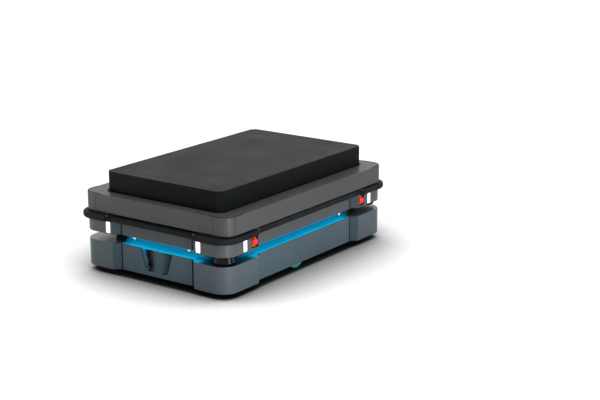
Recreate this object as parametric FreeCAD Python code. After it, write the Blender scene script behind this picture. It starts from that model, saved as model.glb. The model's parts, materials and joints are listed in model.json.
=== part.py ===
import FreeCAD, Part
import math
import os

os.makedirs("parts", exist_ok=True)

# Frame: X is the width, minus Y is the front, Z is up, the floor is z = 0, all in millimetres

# Main body: proud corner modules and set-back panels between them
half_width = 452.0
half_length = 675.0
corner_radius = 78.0
ground_gap = 30.0
lower_top = 164.0
upper_bottom = 208.0
deck_bottom = 298.0
deck_thickness = 8.0
panel_setback = 30.0
module_edge_x = 257.0
module_edge_y = 429.0
skin = 5.0
edge_blend = 3.0
panel_side_gap = 0.8
panel_floor_gap = 1.0
panel_top_gap = 0.6
upper_panel_gap = 0.5
overshoot = 1.0

# Inner core behind the scan slot
core_half_width = 392.0
core_half_length = 604.0
core_cut_x = 295.0
core_cut_y = 498.0
core_wall = 6.0
shelf = 6.0

# Frame inside the core
frame_plate = 6.0
frame_bottom = 155.0
belly_rise = 6.0
belly_plate_thickness = 6.0
wall_thickness = 6.0
cross_wall_y = 374.0
cross_wall_reach = 380.0
post_size = 40.0
post_wall = 3.0
post_room = 10.0
middle_post_inset = 46.0
middle_post_room = 14.0

# Bumper band
band_half_width = 476.0
band_half_length = 704.0
band_radius = 100.0
band_bottom = 275.0
band_top = 305.0
band_setback = 20.0
band_edge_x = 281.0
band_edge_y = 456.0
band_rounding = 10.0
band_step_blend = 4.0

# Lift housing
cover_half_width = 458.0
cover_half_length = 666.0
cover_radius = 66.0
cover_bottom = 312.0
cover_top = 400.0
cover_skin = 4.0
cover_seam_x = 368.0
cover_seam_y = 613.0
cover_seam_gap = 1.0
cover_edge_blend = 1.5
cover_opening_gap = 10.0
groove_start_x = 335.0
groove_start_y = 557.0
groove_inset = 3.0
groove_width = 3.0
groove_depth = 2.5
tab_half = 20.0
tab_thickness = 6.0
tab_overlap = 26.0
tab_spacing_x = 300.0
tab_spacing_y = 450.0

# Lift platform on four rods that slide in fixed columns
lift_half_width = 360.0
lift_half_length = 599.0
lift_chamfer = 25.0
lift_top = 500.0
lift_plate = 6.0
lift_skirt = 4.0
lift_skirt_height = 104.0
lift_edge_blend = 2.5
column_x = 250.0
column_y = 440.0
column_radius = 30.0
column_top = 396.0
column_floor = 6.0
rod_radius = 20.0
rod_bottom = 320.0
running_gap = 0.06
rib_height = 6.0
load_hole_x = 250.0
load_hole_y = 510.0
load_hole_radius = 4.25
load_boss_radius = 12.0

# Signal lights
light_x = 283.0
light_y = 532.0
light_width = 29.0
light_bottom = 213.0
light_top = 271.0
light_gap = 1.2
light_corner = 5.0
light_recess = 0.6
light_flange = 4.0

# Emergency stops
stop_y = 458.0
stop_z = 244.0
stop_pocket_width = 46.0
stop_pocket_height = 52.0
stop_pocket_depth = 20.0
stop_pocket_wall = 3.0
stop_plate_thickness = 7.0
stop_collar_radius = 15.0
stop_collar_height = 8.0
stop_stem_radius = 8.0
stop_stem_gap = 0.3
stop_stem_length = 18.0
stop_stroke = 4.0
stop_clearance = 0.5
stop_head_radius = 17.0
stop_head_height = 14.0
stop_head_blend = 6.0

# Safety scanners
scanner_x = 384.0
scanner_y = 606.0
scanner_top_radius = 40.0
scanner_cap_radius = 53.5
scanner_cap_bottom = 166.0
scanner_cap_height = 7.0
scanner_cap_taper = 3.0
scanner_window_skin = 4.0
scanner_drop = 2.0
scanner_hole_gap = 2.0
mirror_radius = 16.0
mirror_gap = 4.0
mirror_top_gap = 1.0
mirror_cut = 5.0
spindle_radius = 3.0
spindle_depth = 12.0
spindle_end_gap = 2.0

# Release buttons on the slot wall
button_x = 172.0
button_side_y = 335.0
button_z = 187.0
button_radius = 9.0
button_dome_radius = 11.5
button_clearance = 0.4
button_proud = 3.0
button_depth = 14.0
bezel_radius = 13.0
bezel_height = 2.5

# Light guide on the shelf of the scan slot
strip_gap = 0.6
strip_lip = 4.0
strip_lip_height = 10.0
strip_groove_depth = 1.2
strip_groove_width = 2.4
strip_groove_count = 3

# Front camera pockets
pocket_depth = 30.0
pocket_low_depth = 14.0
pocket_outer = 97.0
pocket_foot = 69.0
pocket_valley = 58.0
pocket_pillar = 2.0
pocket_bottom = 56.0
pocket_heel = 16.0
pocket_heel_steps = 4
pocket_wall = 4.0
guide_notch = 8.0
camera_near = 0.42
camera_far = 0.84
camera_low = 75.0
camera_high = 152.0
camera_foot = 8.0
camera_proud = 0.8
camera_gap = 0.4

# Drive wheels on swing arms
drive_radius = 70.0
drive_inner = 344.0
drive_width = 56.0
drive_rim = 52.0
drive_tyre_blend = 4.0
drive_y = -48.0
drive_room = 16.0
drive_side_room = 12.0
drive_pivot_y = 152.0
drive_pivot_z = 120.0
drive_pin = 10.0
arm_lug_radius = 18.0
arm_lug_x = 302.0
arm_lug_length = 44.0
arm_ear_gap = 2.0
arm_ear_thickness = 10.0
arm_ear_half = 22.0
arm_beam_thickness = 20.0
arm_beam_half = 16.0
motor_radius = 35.0
motor_reach = 60.0
motor_rise = 30.0
motor_inner = 152.0
gear_radius = 30.0
gear_width = 24.0
gear_room = 4.0
gear_gap = 6.0
axle_radius = 12.5
axle_depth = 48.0
hub_dish_radius = 44.0
hub_boss_radius = 22.0
hub_dish_depth = 12.0
hub_bolt_circle = 33.0
hub_bolt_radius = 4.0
hub_bolt_count = 6

# Casters
caster_x = 290.0
caster_y = 500.0
caster_radius = 62.5
caster_width = 40.0
caster_blend = 6.0
caster_trail = 45.0
caster_room = 7.5
caster_seat_half_x = 50.0
caster_seat_half_y = 45.0
caster_seat = 6.0
bearing_radius = 30.0
bearing_height = 6.0
fork_gap = 0.6
fork_crown_radius = 38.0
fork_crown_room = 5.0
fork_pin = 8.0
fork_pin_length = 16.0
fork_leg_thickness = 5.0
fork_side_gap = 3.0
fork_eye = 14.0
wheel_pin = 6.0
web_radius = 44.0
web_half = 14.0
wheel_boss_radius = 14.0

# Battery and electronics
bay_half_width = 134.0
bay_wall_gap = 6.0
bay_start = 30.0
bay_length = 540.0
battery_height = 106.0
electronics_height = 104.0

# Operator panel and key in the open rear right corner of the slot
control_x = 300.0
control_width = 100.0
control_depth = 48.0
control_wall_gap = 8.0
control_height = 36.0
control_blend = 4.0
key_inset = 15.0
key_drop = 18.0
key_radius = 7.0
key_barrel_in = 14.0
key_barrel_out = 6.0
key_bow_width = 24.0
key_bow_reach = 24.0
key_bow_thickness = 3.6

# Places worked out from the sizes above
frame_top = frame_bottom + frame_plate
belly_bottom = ground_gap + belly_rise
belly_top = belly_bottom + belly_plate_thickness
deck_top = deck_bottom + deck_thickness
panel_plane_x = half_width - panel_setback
panel_plane_y = half_length - panel_setback
bay_wall_x = bay_half_width + bay_wall_gap
corner_post_x = column_x + column_radius + post_size / 2
corner_post_y = column_y + column_radius + post_size / 2 + post_room
middle_post_x = core_half_width - core_wall - middle_post_inset
middle_post_y = drive_radius + drive_room - drive_y + post_size / 2 + middle_post_room
stop_floor_x = half_width - stop_pocket_depth
stop_head_x = stop_floor_x + stop_collar_height + stop_stroke + stop_clearance
scanner_top = upper_bottom - scanner_drop
scanner_cap_top = scanner_cap_bottom + scanner_cap_height
bearing_bottom = frame_bottom - caster_seat - bearing_height
crown_top = bearing_bottom - fork_gap
crown_bottom = 2 * caster_radius + fork_crown_room
drive_outer = drive_inner + drive_width
gear_x = drive_inner - gear_gap - gear_width
half_slant = math.tan(math.radians(22.5))

UP = FreeCAD.Vector(0, 0, 1)
SIDE = FreeCAD.Vector(1, 0, 0)
ALONG = FreeCAD.Vector(0, 1, 0)
ORIGIN = FreeCAD.Vector(0, 0, 0)
QUARTERS = ((-1, -1), (1, -1), (-1, 1), (1, 1))


def save(name, *shapes):
    """Write one node as STEP."""
    solids = []
    for shape in shapes:
        solids.extend(shape.Solids)
    if len(solids) == 1:
        solids[0].exportStep(f"parts/{name}.step")
    else:
        Part.makeCompound(solids).exportStep(f"parts/{name}.step")
    print(name, len(solids), round(sum(s.Volume for s in solids) / 1000.0, 1), "cm3")


def block(x0, x1, y0, y1, z0, z1):
    """Box between two corners."""
    corner = FreeCAD.Vector(min(x0, x1), min(y0, y1), min(z0, z1))
    return Part.makeBox(abs(x1 - x0), abs(y1 - y0), abs(z1 - z0), corner)


def rod(radius, start, direction, length):
    """Cylinder from a start point along a direction."""
    return Part.makeCylinder(radius, length, FreeCAD.Vector(*start), direction)


def flip(shape, sx, sy):
    """Copy of a shape from the +x +y quadrant into the quadrant with these signs."""
    result = shape
    if sx < 0:
        result = result.mirror(ORIGIN, SIDE)
    if sy < 0:
        result = result.mirror(ORIGIN, ALONG)
    return result


def turned(shape, angle):
    """Copy turned about the upright axis of the frame."""
    copy = shape.copy()
    copy.rotate(ORIGIN, UP, angle)
    return copy


def moved(shape, x, y, z):
    """Copy moved by an offset."""
    copy = shape.copy()
    copy.translate(FreeCAD.Vector(x, y, z))
    return copy


def blended_wire(corners):
    """Closed flat wire through (x, y, radius) corners, each corner rounded by its radius."""
    count = len(corners)
    starts = []
    mids = []
    ends = []
    for i in range(count):
        x, y, radius = corners[i]
        here = FreeCAD.Vector(x, y, 0)
        before = FreeCAD.Vector(corners[i - 1][0], corners[i - 1][1], 0) - here
        after = FreeCAD.Vector(corners[(i + 1) % count][0], corners[(i + 1) % count][1], 0) - here
        before.normalize()
        after.normalize()
        if radius == 0:
            starts.append(here)
            mids.append(here)
            ends.append(here)
            continue
        half_angle = before.getAngle(after) / 2.0
        reach = radius / math.tan(half_angle)
        inward = before + after
        inward.normalize()
        starts.append(here + before * reach)
        ends.append(here + after * reach)
        mids.append(here + inward * (radius / math.sin(half_angle) - radius))
    edges = []
    for i in range(count):
        if corners[i][2] > 0:
            edges.append(Part.Arc(starts[i], mids[i], ends[i]).toShape())
        following = starts[(i + 1) % count]
        if (following - ends[i]).Length > 1e-6:
            edges.append(Part.makeLine(ends[i], following))
    return Part.Wire(edges)


def slab(corners, z0, z1):
    """Upright prism on a rounded outline."""
    face = Part.Face(blended_wire(corners))
    face.translate(FreeCAD.Vector(0, 0, z0))
    return face.extrude(FreeCAD.Vector(0, 0, z1 - z0))


def side_prism(corners, x0, x1):
    """Prism along x on an outline of (y, z, radius) corners."""
    face = Part.Face(blended_wire(corners))
    face.rotate(ORIGIN, SIDE, 90)
    face.rotate(ORIGIN, UP, 90)
    face.translate(FreeCAD.Vector(x0, 0, 0))
    return face.extrude(FreeCAD.Vector(x1 - x0, 0, 0))


def level_edges(shape, z):
    """Edges that lie flat at one height."""
    found = []
    for edge in shape.Edges:
        box = edge.BoundBox
        if abs(box.ZMin - z) < 0.01 and abs(box.ZMax - z) < 0.01:
            found.append(edge)
    return found


def face_edges_x(shape, x):
    """Edges that lie in the upright plane at one x."""
    found = []
    for edge in shape.Edges:
        box = edge.BoundBox
        if abs(box.XMin - x) < 0.01 and abs(box.XMax - x) < 0.01:
            found.append(edge)
    return found


def edges_along(shape, direction):
    """Edges of a block that run along one direction."""
    return [edge for edge in shape.Edges
            if abs(edge.tangentAt(edge.FirstParameter).dot(direction)) > 0.99]


def all_round(quarter):
    """Closed outline from the corners of the +x +y quarter, listed from the x axis to the y axis."""
    outline = list(quarter)
    outline += [(-x, y, r) for x, y, r in reversed(quarter)]
    outline += [(-x, -y, r) for x, y, r in quarter]
    outline += [(x, -y, r) for x, y, r in reversed(quarter)]
    return outline


def core_outline(inset):
    """Outline of the core: a rectangle with its corners cut off diagonally."""
    shift = half_slant * inset
    quarter = [
        (core_half_width - inset, core_cut_y - shift, 0),
        (core_cut_x - shift, core_half_length - inset, 0),
    ]
    return all_round(quarter)


def stepped_outline(width, length, radius, edge_x, edge_y, setback, blend):
    """Outline with proud corners and the stretches between the corners set back."""
    quarter = [
        (width - setback, edge_y - setback, blend),
        (width, edge_y, blend),
        (width, length, radius),
        (edge_x, length, blend),
        (edge_x - setback, length - setback, blend),
    ]
    return all_round(quarter)


def body_outline():
    """Outline of the body at the corner modules and the set-back panels."""
    return stepped_outline(half_width, half_length, corner_radius, module_edge_x,
                           module_edge_y, panel_setback, edge_blend)


def module_outline(inset):
    """Outline of one corner module, its outer faces moved in by an inset."""
    slant = half_slant * inset
    panel_x = module_edge_x - panel_setback + inset
    panel_y = module_edge_y - panel_setback + inset
    outer = [
        (panel_plane_x - slant, panel_y, 0),
        (half_width - inset, module_edge_y + slant, edge_blend),
        (half_width - inset, half_length - inset, corner_radius - inset),
        (module_edge_x + slant, half_length - inset, edge_blend),
        (panel_x, panel_plane_y - slant, 0),
    ]
    if inset > 0:
        return outer + [(panel_x, panel_y, 0)]
    core = [
        (panel_x, core_half_length, 0),
        (core_cut_x, core_half_length, 0),
        (core_half_width, core_cut_y, 0),
        (core_half_width, panel_y, 0),
    ]
    return outer + core


def soften(shape, z):
    """Round the proud outer rim of a module at one height."""
    rims = []
    for edge in level_edges(shape, z):
        box = edge.BoundBox
        on_side = abs(box.XMin - half_width) < 0.01
        on_end = abs(box.YMin - half_length) < 0.01
        on_corner = box.XMax > half_width - 0.1 and box.YMax > half_length - 0.1
        if on_side or on_end or on_corner:
            rims.append(edge)
    return shape.makeFillet(edge_blend, rims)


def lower_module():
    """Lower corner cover: outer wall, end returns and the shelf of the scan slot."""
    body = slab(module_outline(0), ground_gap, lower_top)
    body = soften(body, lower_top)
    body = soften(body, ground_gap)
    return body.cut(slab(module_outline(skin), ground_gap - overshoot, lower_top - shelf))


def light_blocks(grow, outer_grow, depth):
    """Blocks at the end and side signal light of a module, from its face inwards."""
    reach = light_width / 2 + grow
    z0 = light_bottom - grow
    z1 = light_top + grow
    end = block(light_x - reach, light_x + reach, half_length - depth, half_length + outer_grow, z0, z1)
    side = block(half_width - depth, half_width + outer_grow, light_y - reach, light_y + reach, z0, z1)
    end = end.makeFillet(light_corner, edges_along(end, ALONG))
    side = side.makeFillet(light_corner, edges_along(side, SIDE))
    return end, side


def stop_pocket(grow, depth):
    """Recess of an emergency stop in the side of a module."""
    reach_y = stop_pocket_width / 2 + grow
    reach_z = stop_pocket_height / 2 + grow
    return block(half_width - depth, half_width + overshoot, stop_y - reach_y, stop_y + reach_y,
                 stop_z - reach_z, stop_z + reach_z)


def upper_module(with_scanner):
    """Upper corner cover: outer wall, soffit, light openings and the emergency stop recess."""
    body = slab(module_outline(0), upper_bottom, deck_bottom)
    body = soften(body, upper_bottom)
    body = body.cut(slab(module_outline(skin), upper_bottom + skin, deck_bottom + overshoot))
    backing = stop_pocket(stop_pocket_wall, stop_pocket_depth + stop_pocket_wall)
    backing = backing.common(block(0, half_width - skin, 0, half_length, 0, deck_bottom))
    body = body.fuse(backing)
    body = body.cut(stop_pocket(0, stop_pocket_depth))
    collar = rod(stop_collar_radius, (stop_floor_x, stop_y, stop_z), SIDE, stop_collar_height)
    body = body.fuse(collar)
    bore_start = stop_floor_x - stop_pocket_wall - overshoot
    body = body.cut(rod(stop_stem_radius + stop_stem_gap, (bore_start, stop_y, stop_z), SIDE,
                        half_width - bore_start))
    for opening in light_blocks(light_gap, overshoot, skin + overshoot):
        body = body.cut(opening)
    if with_scanner:
        hole_radius = scanner_top_radius + scanner_hole_gap
        body = body.cut(rod(hole_radius, (scanner_x, scanner_y, upper_bottom - overshoot), UP,
                            skin + 2 * overshoot))
    return body.removeSplitter()


def signal_lenses():
    """Both lenses of a module, each with a flange behind the wall."""
    end, side = light_blocks(0, -light_recess, skin)
    end_flange, side_flange = light_blocks(light_flange, -skin, skin + light_flange)
    end_flange = end_flange.cut(block(0, half_width, 0, half_length, 0, upper_bottom + skin))
    side_flange = side_flange.cut(block(0, half_width, 0, half_length, 0, upper_bottom + skin))
    return end.fuse(end_flange), side.fuse(side_flange)


def stop_plate():
    """Yellow plate on the floor of the emergency stop recess."""
    reach_y = stop_pocket_width / 2 - overshoot
    reach_z = stop_pocket_height / 2 - overshoot
    plate = block(stop_floor_x, stop_floor_x + stop_plate_thickness, stop_y - reach_y, stop_y + reach_y,
                  stop_z - reach_z, stop_z + reach_z)
    return plate.cut(rod(stop_collar_radius, (stop_floor_x - overshoot, stop_y, stop_z), SIDE,
                         stop_collar_height))


def stop_button():
    """Emergency stop mushroom with its stem."""
    stem_start = stop_floor_x - stop_stem_length
    stem = rod(stop_stem_radius, (stem_start, stop_y, stop_z), SIDE, stop_head_x - stem_start + overshoot)
    head = rod(stop_head_radius, (stop_head_x, stop_y, stop_z), SIDE, stop_head_height)
    head = head.makeFillet(stop_head_blend, face_edges_x(head, stop_head_x + stop_head_height))
    return head.fuse(stem).removeSplitter()


def pocket_edge(z):
    """Distance of the straight pocket edge from the middle plane at one height."""
    foot_z = pocket_bottom + pocket_heel
    return pocket_foot + (pocket_outer - pocket_foot) * (z - foot_z) / (lower_top - foot_z)


def pocket_section(z, edge, depth, grow):
    """Level outline of a camera pocket: flank of the middle pillar, valley and outer wall."""
    face = panel_plane_y + overshoot
    corners = [
        (pocket_pillar - grow, face),
        (pocket_pillar - grow, panel_plane_y),
        (pocket_valley, panel_plane_y - depth - grow),
        (edge + grow, panel_plane_y),
        (edge + grow, face),
    ]
    points = [FreeCAD.Vector(x, y, z) for x, y in corners]
    return Part.makePolygon(points + points[:1])


def pocket_shape(grow):
    """Camera pocket on the +x +y side, rounded towards its foot."""
    sections = []
    for i in range(pocket_heel_steps + 1):
        angle = math.pi / 2 * i / pocket_heel_steps
        z = pocket_bottom - grow + pocket_heel * (1 - math.cos(angle))
        edge = pocket_foot - pocket_heel * (1 - math.sin(angle))
        depth = pocket_low_depth + (pocket_depth - pocket_low_depth) * math.sin(angle)
        sections.append(pocket_section(z, edge, depth, grow))
    high = lower_top + overshoot
    sections.append(pocket_section(high, pocket_edge(high), pocket_depth, grow))
    return Part.makeLoft(sections, True, True)


def camera_section(z, grow, proud):
    """Level outline of a camera behind the outer wall of its pocket."""
    edge = pocket_edge(z)
    near_x = edge + (pocket_valley - edge) * camera_near + grow
    far_x = edge + (pocket_valley - edge) * camera_far - grow
    near_y = panel_plane_y - pocket_depth * camera_near + proud
    far_y = panel_plane_y - pocket_depth * camera_far + proud
    corners = [(near_x, near_y), (far_x, far_y), (far_x, core_half_length), (near_x, core_half_length)]
    points = [FreeCAD.Vector(x, y, z) for x, y in corners]
    return Part.makePolygon(points + points[:1])


def camera_body(grow, proud):
    """Camera whose window lies in the outer wall of its pocket."""
    low = camera_section(camera_low - grow, grow, proud)
    high = camera_section(camera_high + grow, grow, proud)
    return Part.makeLoft([low, high], True, True)


def camera_bracket():
    """Foot on the wall of the core that carries a camera."""
    x = (pocket_valley + pocket_edge(camera_high)) / 2
    return block(x - camera_foot, x + camera_foot, core_half_length, core_half_length + camera_foot,
                 camera_low, lower_top - shelf)


def end_panel(with_cameras):
    """Removable lower panel on the +y end, with or without the two camera pockets."""
    reach = module_edge_x - panel_setback - panel_side_gap
    z0 = ground_gap + panel_floor_gap
    z1 = lower_top - panel_top_gap
    plate = block(-reach, reach, panel_plane_y - skin, panel_plane_y, z0, z1)
    if not with_cameras:
        return plate
    room = block(-half_width, half_width, 0, panel_plane_y - overshoot, z0,
                 lower_top - shelf - panel_top_gap)
    for sx in (1, -1):
        plate = plate.fuse(flip(pocket_shape(pocket_wall), sx, 1).common(room))
    for sx in (1, -1):
        plate = plate.cut(flip(pocket_shape(0), sx, 1))
        plate = plate.cut(flip(camera_body(camera_gap, 2 * pocket_wall), sx, 1))
        plate = plate.cut(flip(camera_bracket(), sx, 1))
    return plate.removeSplitter()


def side_panel():
    """Removable lower panel on the +x side."""
    reach = module_edge_y - panel_setback - panel_side_gap
    return block(panel_plane_x - skin, panel_plane_x, -reach, reach,
                 ground_gap + panel_floor_gap, lower_top - panel_top_gap)


def upper_end_panel():
    """Upper panel on the +y end with the soffit of the scan slot."""
    reach = module_edge_x - panel_setback - upper_panel_gap
    plate = block(-reach, reach, panel_plane_y - skin, panel_plane_y, upper_bottom, deck_bottom)
    soffit = block(-reach, reach, core_half_length, panel_plane_y, upper_bottom, upper_bottom + skin)
    return plate.fuse(soffit).removeSplitter()


def upper_side_panel():
    """Upper panel on the +x side with the soffit of the scan slot."""
    reach = module_edge_y - panel_setback - upper_panel_gap
    plate = block(panel_plane_x - skin, panel_plane_x, -reach, reach, upper_bottom, deck_bottom)
    soffit = block(core_half_width, panel_plane_x, -reach, reach, upper_bottom, upper_bottom + skin)
    return plate.fuse(soffit).removeSplitter()


def bumper_band():
    """Rubber band round the body: straight lengths on the panels and a proud guard on each corner."""
    outline = stepped_outline(band_half_width, band_half_length, band_radius, band_edge_x,
                              band_edge_y, band_setback, band_step_blend)
    band = slab(outline, band_bottom, band_top)
    band = band.makeFillet(band_rounding, level_edges(band, band_bottom) + level_edges(band, band_top))
    band = band.cut(slab(body_outline(), band_bottom - overshoot, band_top + overshoot))
    reach_x = band_edge_x - band_setback - band_step_blend
    reach_y = band_edge_y - band_setback - band_step_blend
    end = block(-reach_x, reach_x, 0, 2 * half_length, 0, lift_top)
    side = block(0, 2 * half_width, -reach_y, reach_y, 0, lift_top)
    corner = block(reach_x, 2 * half_width, reach_y, 2 * half_length, 0, lift_top)
    pieces = [band.common(flip(end, 1, sy)) for sy in (1, -1)]
    pieces += [band.common(flip(side, sx, 1)) for sx in (1, -1)]
    pieces += [band.common(flip(corner, sx, sy)) for sx, sy in QUARTERS]
    return pieces


def light_strip(inner, outer, reach):
    """Light guide along y at the +x side: shelf, lip on the wall and fine grooves."""
    bar = block(inner, outer, -reach, reach, lower_top - shelf, lower_top)
    bar = bar.fuse(block(inner, inner + strip_lip, -reach, reach, lower_top - shelf,
                         lower_top + strip_lip_height))
    pitch = (outer - inner - strip_lip) / (strip_groove_count + 1)
    for i in range(strip_groove_count):
        x0 = inner + strip_lip + pitch * (i + 1) - strip_groove_width / 2
        bar = bar.cut(block(x0, x0 + strip_groove_width, -reach, reach,
                            lower_top - strip_groove_depth, lower_top + overshoot))
    return bar.removeSplitter()


def light_strips():
    """The four light guides."""
    side = light_strip(core_half_width, panel_plane_x - skin - strip_gap,
                       module_edge_y - panel_setback - upper_panel_gap)
    end = turned(light_strip(core_half_length, panel_plane_y - skin - strip_gap,
                             module_edge_x - panel_setback - upper_panel_gap), 90)
    front = end
    low = lower_top - shelf - overshoot
    plan = Part.Face(pocket_section(low, pocket_edge(lower_top), pocket_depth, 0))
    notch = plan.extrude(FreeCAD.Vector(0, 0, shelf + 2 * overshoot))
    notch = notch.common(block(0, half_width, panel_plane_y - skin - guide_notch, half_length, 0, lift_top))
    for sx in (1, -1):
        front = front.cut(flip(notch, sx, 1))
    return side, flip(side, -1, 1), end, flip(front, 1, -1)


def release_button():
    """Domed push button with its stem, on the +y face of the slot wall at x = 0."""
    start = core_half_length - button_depth
    length = button_depth + button_proud
    stem = rod(button_radius, (0, start, button_z), ALONG, length)
    dome_centre = core_half_length + button_proud - math.sqrt(button_dome_radius ** 2 - button_radius ** 2)
    dome = Part.makeSphere(button_dome_radius, FreeCAD.Vector(0, dome_centre, button_z))
    dome = dome.common(rod(button_radius, (0, core_half_length, button_z), ALONG, button_dome_radius))
    return stem.fuse(dome).removeSplitter()


def button_bezel():
    """Ring round a release button, on the +y face of the slot wall at x = 0."""
    return rod(bezel_radius, (0, core_half_length, button_z), ALONG, bezel_height)


def button_hole():
    """Hole for a release button through bezel and wall."""
    return rod(button_radius + button_clearance, (0, core_half_length - 2 * core_wall, button_z), ALONG,
               4 * core_wall)


def place_on_end(shape, sx, sy):
    """Put a fitting made on the +y wall at x = 0 on its place on the front or rear wall."""
    if sy < 0:
        shape = turned(shape, 180)
    return moved(shape, sx * button_x, 0, 0)


def place_on_side(shape, sx):
    """Put a fitting made on the +y wall at x = 0 on its place on a side wall."""
    shape = turned(moved(shape, 0, core_half_width - core_half_length, 0), -90 * sx)
    return moved(shape, 0, sx * button_side_y, 0)


def placed_buttons(shape):
    """Copies of a fitting at all release button places, by name."""
    return {
        "front_left": place_on_end(shape, -1, -1),
        "front_right": place_on_end(shape, 1, -1),
        "rear_left": place_on_end(shape, -1, 1),
        "rear_right": place_on_end(shape, 1, 1),
        "side_left": place_on_side(shape, -1),
        "side_right": place_on_side(shape, 1),
    }


def slot_wall():
    """Wall of the core behind the scan slot, with the bezels of the release buttons."""
    low = frame_bottom
    high = upper_bottom + skin
    wall = slab(core_outline(0), low, high)
    wall = wall.cut(slab(core_outline(core_wall), low - overshoot, high + overshoot))
    for bezel in placed_buttons(button_bezel()).values():
        wall = wall.fuse(bezel)
    for hole in placed_buttons(button_hole()).values():
        wall = wall.cut(hole)
    return wall.removeSplitter()


def scanner_housing(x, y):
    """Body and cap of one safety scanner."""
    body = rod(scanner_top_radius, (x, y, scanner_top), UP, deck_bottom - scanner_top)
    body = body.cut(rod(spindle_radius + running_gap, (x, y, scanner_top - overshoot), UP,
                        spindle_depth + spindle_end_gap + overshoot))
    cap = Part.makeCone(scanner_cap_radius - scanner_cap_taper, scanner_cap_radius, scanner_cap_height,
                        FreeCAD.Vector(x, y, scanner_cap_bottom), UP)
    return body, cap


def scanner_window(x, y):
    """Conical window between the cap and the body of a scanner."""
    height = scanner_top - scanner_cap_top
    base = FreeCAD.Vector(x, y, scanner_cap_top)
    low = scanner_cap_radius - scanner_cap_taper / 2
    outer = Part.makeCone(low, scanner_top_radius, height, base, UP)
    inner = Part.makeCone(low - scanner_window_skin, scanner_top_radius - scanner_window_skin,
                          height, base, UP)
    return outer.cut(inner)


def scanner_mirror(x, y):
    """Spinning drum with a slanted mirror face, hung on a spindle."""
    low = scanner_cap_top + mirror_gap
    high = scanner_top - mirror_top_gap
    drum = rod(mirror_radius, (x, y, low), UP, high - low)
    notch = side_prism([(-mirror_radius - overshoot, low + mirror_cut, 0),
                        (mirror_radius / 4, high - mirror_cut, 0),
                        (-mirror_radius - overshoot, high - mirror_cut, 0)], -mirror_radius, mirror_radius)
    drum = drum.cut(moved(notch, x, y, 0))
    spindle = rod(spindle_radius, (x, y, high - overshoot), UP, mirror_top_gap + overshoot + spindle_depth)
    return drum.fuse(spindle).removeSplitter()


def post(x, y):
    """Square tube between the frame plate and the deck plate."""
    half = post_size / 2
    hollow = half - post_wall
    tube = block(x - half, x + half, y - half, y + half, frame_top, deck_bottom)
    return tube.cut(block(x - hollow, x + hollow, y - hollow, y + hollow, frame_top, deck_bottom))


def wheel_openings(z0, z1):
    """Openings for the drive wheels and their gear cases."""
    reach = drive_radius + drive_room
    return [block(sx * (gear_x - gear_room), sx * (drive_outer + drive_side_room),
                  drive_y - reach, drive_y + reach, z0, z1) for sx in (1, -1)]


def arm_ears(sx):
    """Two ears that carry the pivot pin of a drive arm."""
    inner = arm_lug_x - arm_ear_gap - arm_ear_thickness
    outer = arm_lug_x + arm_lug_length + arm_ear_gap
    ears = []
    for x0 in (inner, outer):
        x1 = x0 + arm_ear_thickness
        ear = block(x0, x1, drive_pivot_y - arm_ear_half, drive_pivot_y + arm_ear_half,
                    drive_pivot_z, frame_bottom)
        ear = ear.fuse(rod(arm_ear_half, (x0, drive_pivot_y, drive_pivot_z), SIDE, arm_ear_thickness))
        ear = ear.cut(rod(drive_pin + running_gap, (x0 - overshoot, drive_pivot_y, drive_pivot_z), SIDE,
                          arm_ear_thickness + 2 * overshoot))
        ears.append(flip(ear, sx, 1))
    return ears


def chassis_frame():
    """Frame plate with the caster seats and the ears of the drive arms."""
    plate = slab(core_outline(core_wall), frame_bottom, frame_top)
    for opening in wheel_openings(frame_bottom - overshoot, frame_top + overshoot):
        plate = plate.cut(opening)
    parts = arm_ears(1) + arm_ears(-1)
    for sx, sy in QUARTERS:
        parts.append(block(sx * (caster_x - caster_seat_half_x), sx * (caster_x + caster_seat_half_x),
                           sy * (caster_y - caster_seat_half_y), sy * (caster_y + caster_seat_half_y),
                           frame_bottom - caster_seat, frame_bottom))
        parts.append(rod(bearing_radius, (sx * caster_x, sy * caster_y, bearing_bottom), UP, bearing_height))
    frame = plate.multiFuse(parts)
    bore_start = bearing_bottom - overshoot
    for sx, sy in QUARTERS:
        frame = frame.cut(rod(fork_pin + running_gap, (sx * caster_x, sy * caster_y, bore_start), UP,
                              frame_top - bore_start + overshoot))
    return frame.removeSplitter()


def frame_members():
    """Walls below the frame plate and posts above it, welded to it."""
    reach = core_half_length - core_wall - bay_wall_gap
    outer_wall_x = bay_wall_x + wall_thickness
    members = []
    for sx in (1, -1):
        members.append(block(sx * bay_wall_x, sx * outer_wall_x, -reach, reach, belly_top, frame_bottom))
    for sx, sy in QUARTERS:
        members.append(block(sx * outer_wall_x, sx * cross_wall_reach, sy * cross_wall_y,
                             sy * (cross_wall_y + wall_thickness), belly_top, frame_bottom))
        members.append(post(sx * corner_post_x, sy * corner_post_y))
        members.append(post(sx * middle_post_x, sy * middle_post_y))
    return members


def belly_plate():
    """Bottom plate with openings for the wheels."""
    plate = slab(core_outline(core_wall), belly_bottom, belly_top)
    for opening in wheel_openings(belly_bottom - overshoot, belly_top + overshoot):
        plate = plate.cut(opening)
    swing = caster_trail + caster_radius + caster_room
    for sx, sy in QUARTERS:
        plate = plate.cut(rod(swing, (sx * caster_x, sy * caster_y, belly_bottom - overshoot), UP,
                              belly_plate_thickness + 2 * overshoot))
    return plate


def deck_plate():
    """Top plate of the body, carrying covers, bumper band and lift."""
    plate = slab(body_outline(), deck_bottom, deck_top)
    for sx, sy in QUARTERS:
        plate = plate.cut(rod(column_radius, (sx * column_x, sy * column_y, deck_bottom - overshoot), UP,
                              deck_thickness + 2 * overshoot))
    return plate


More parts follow.
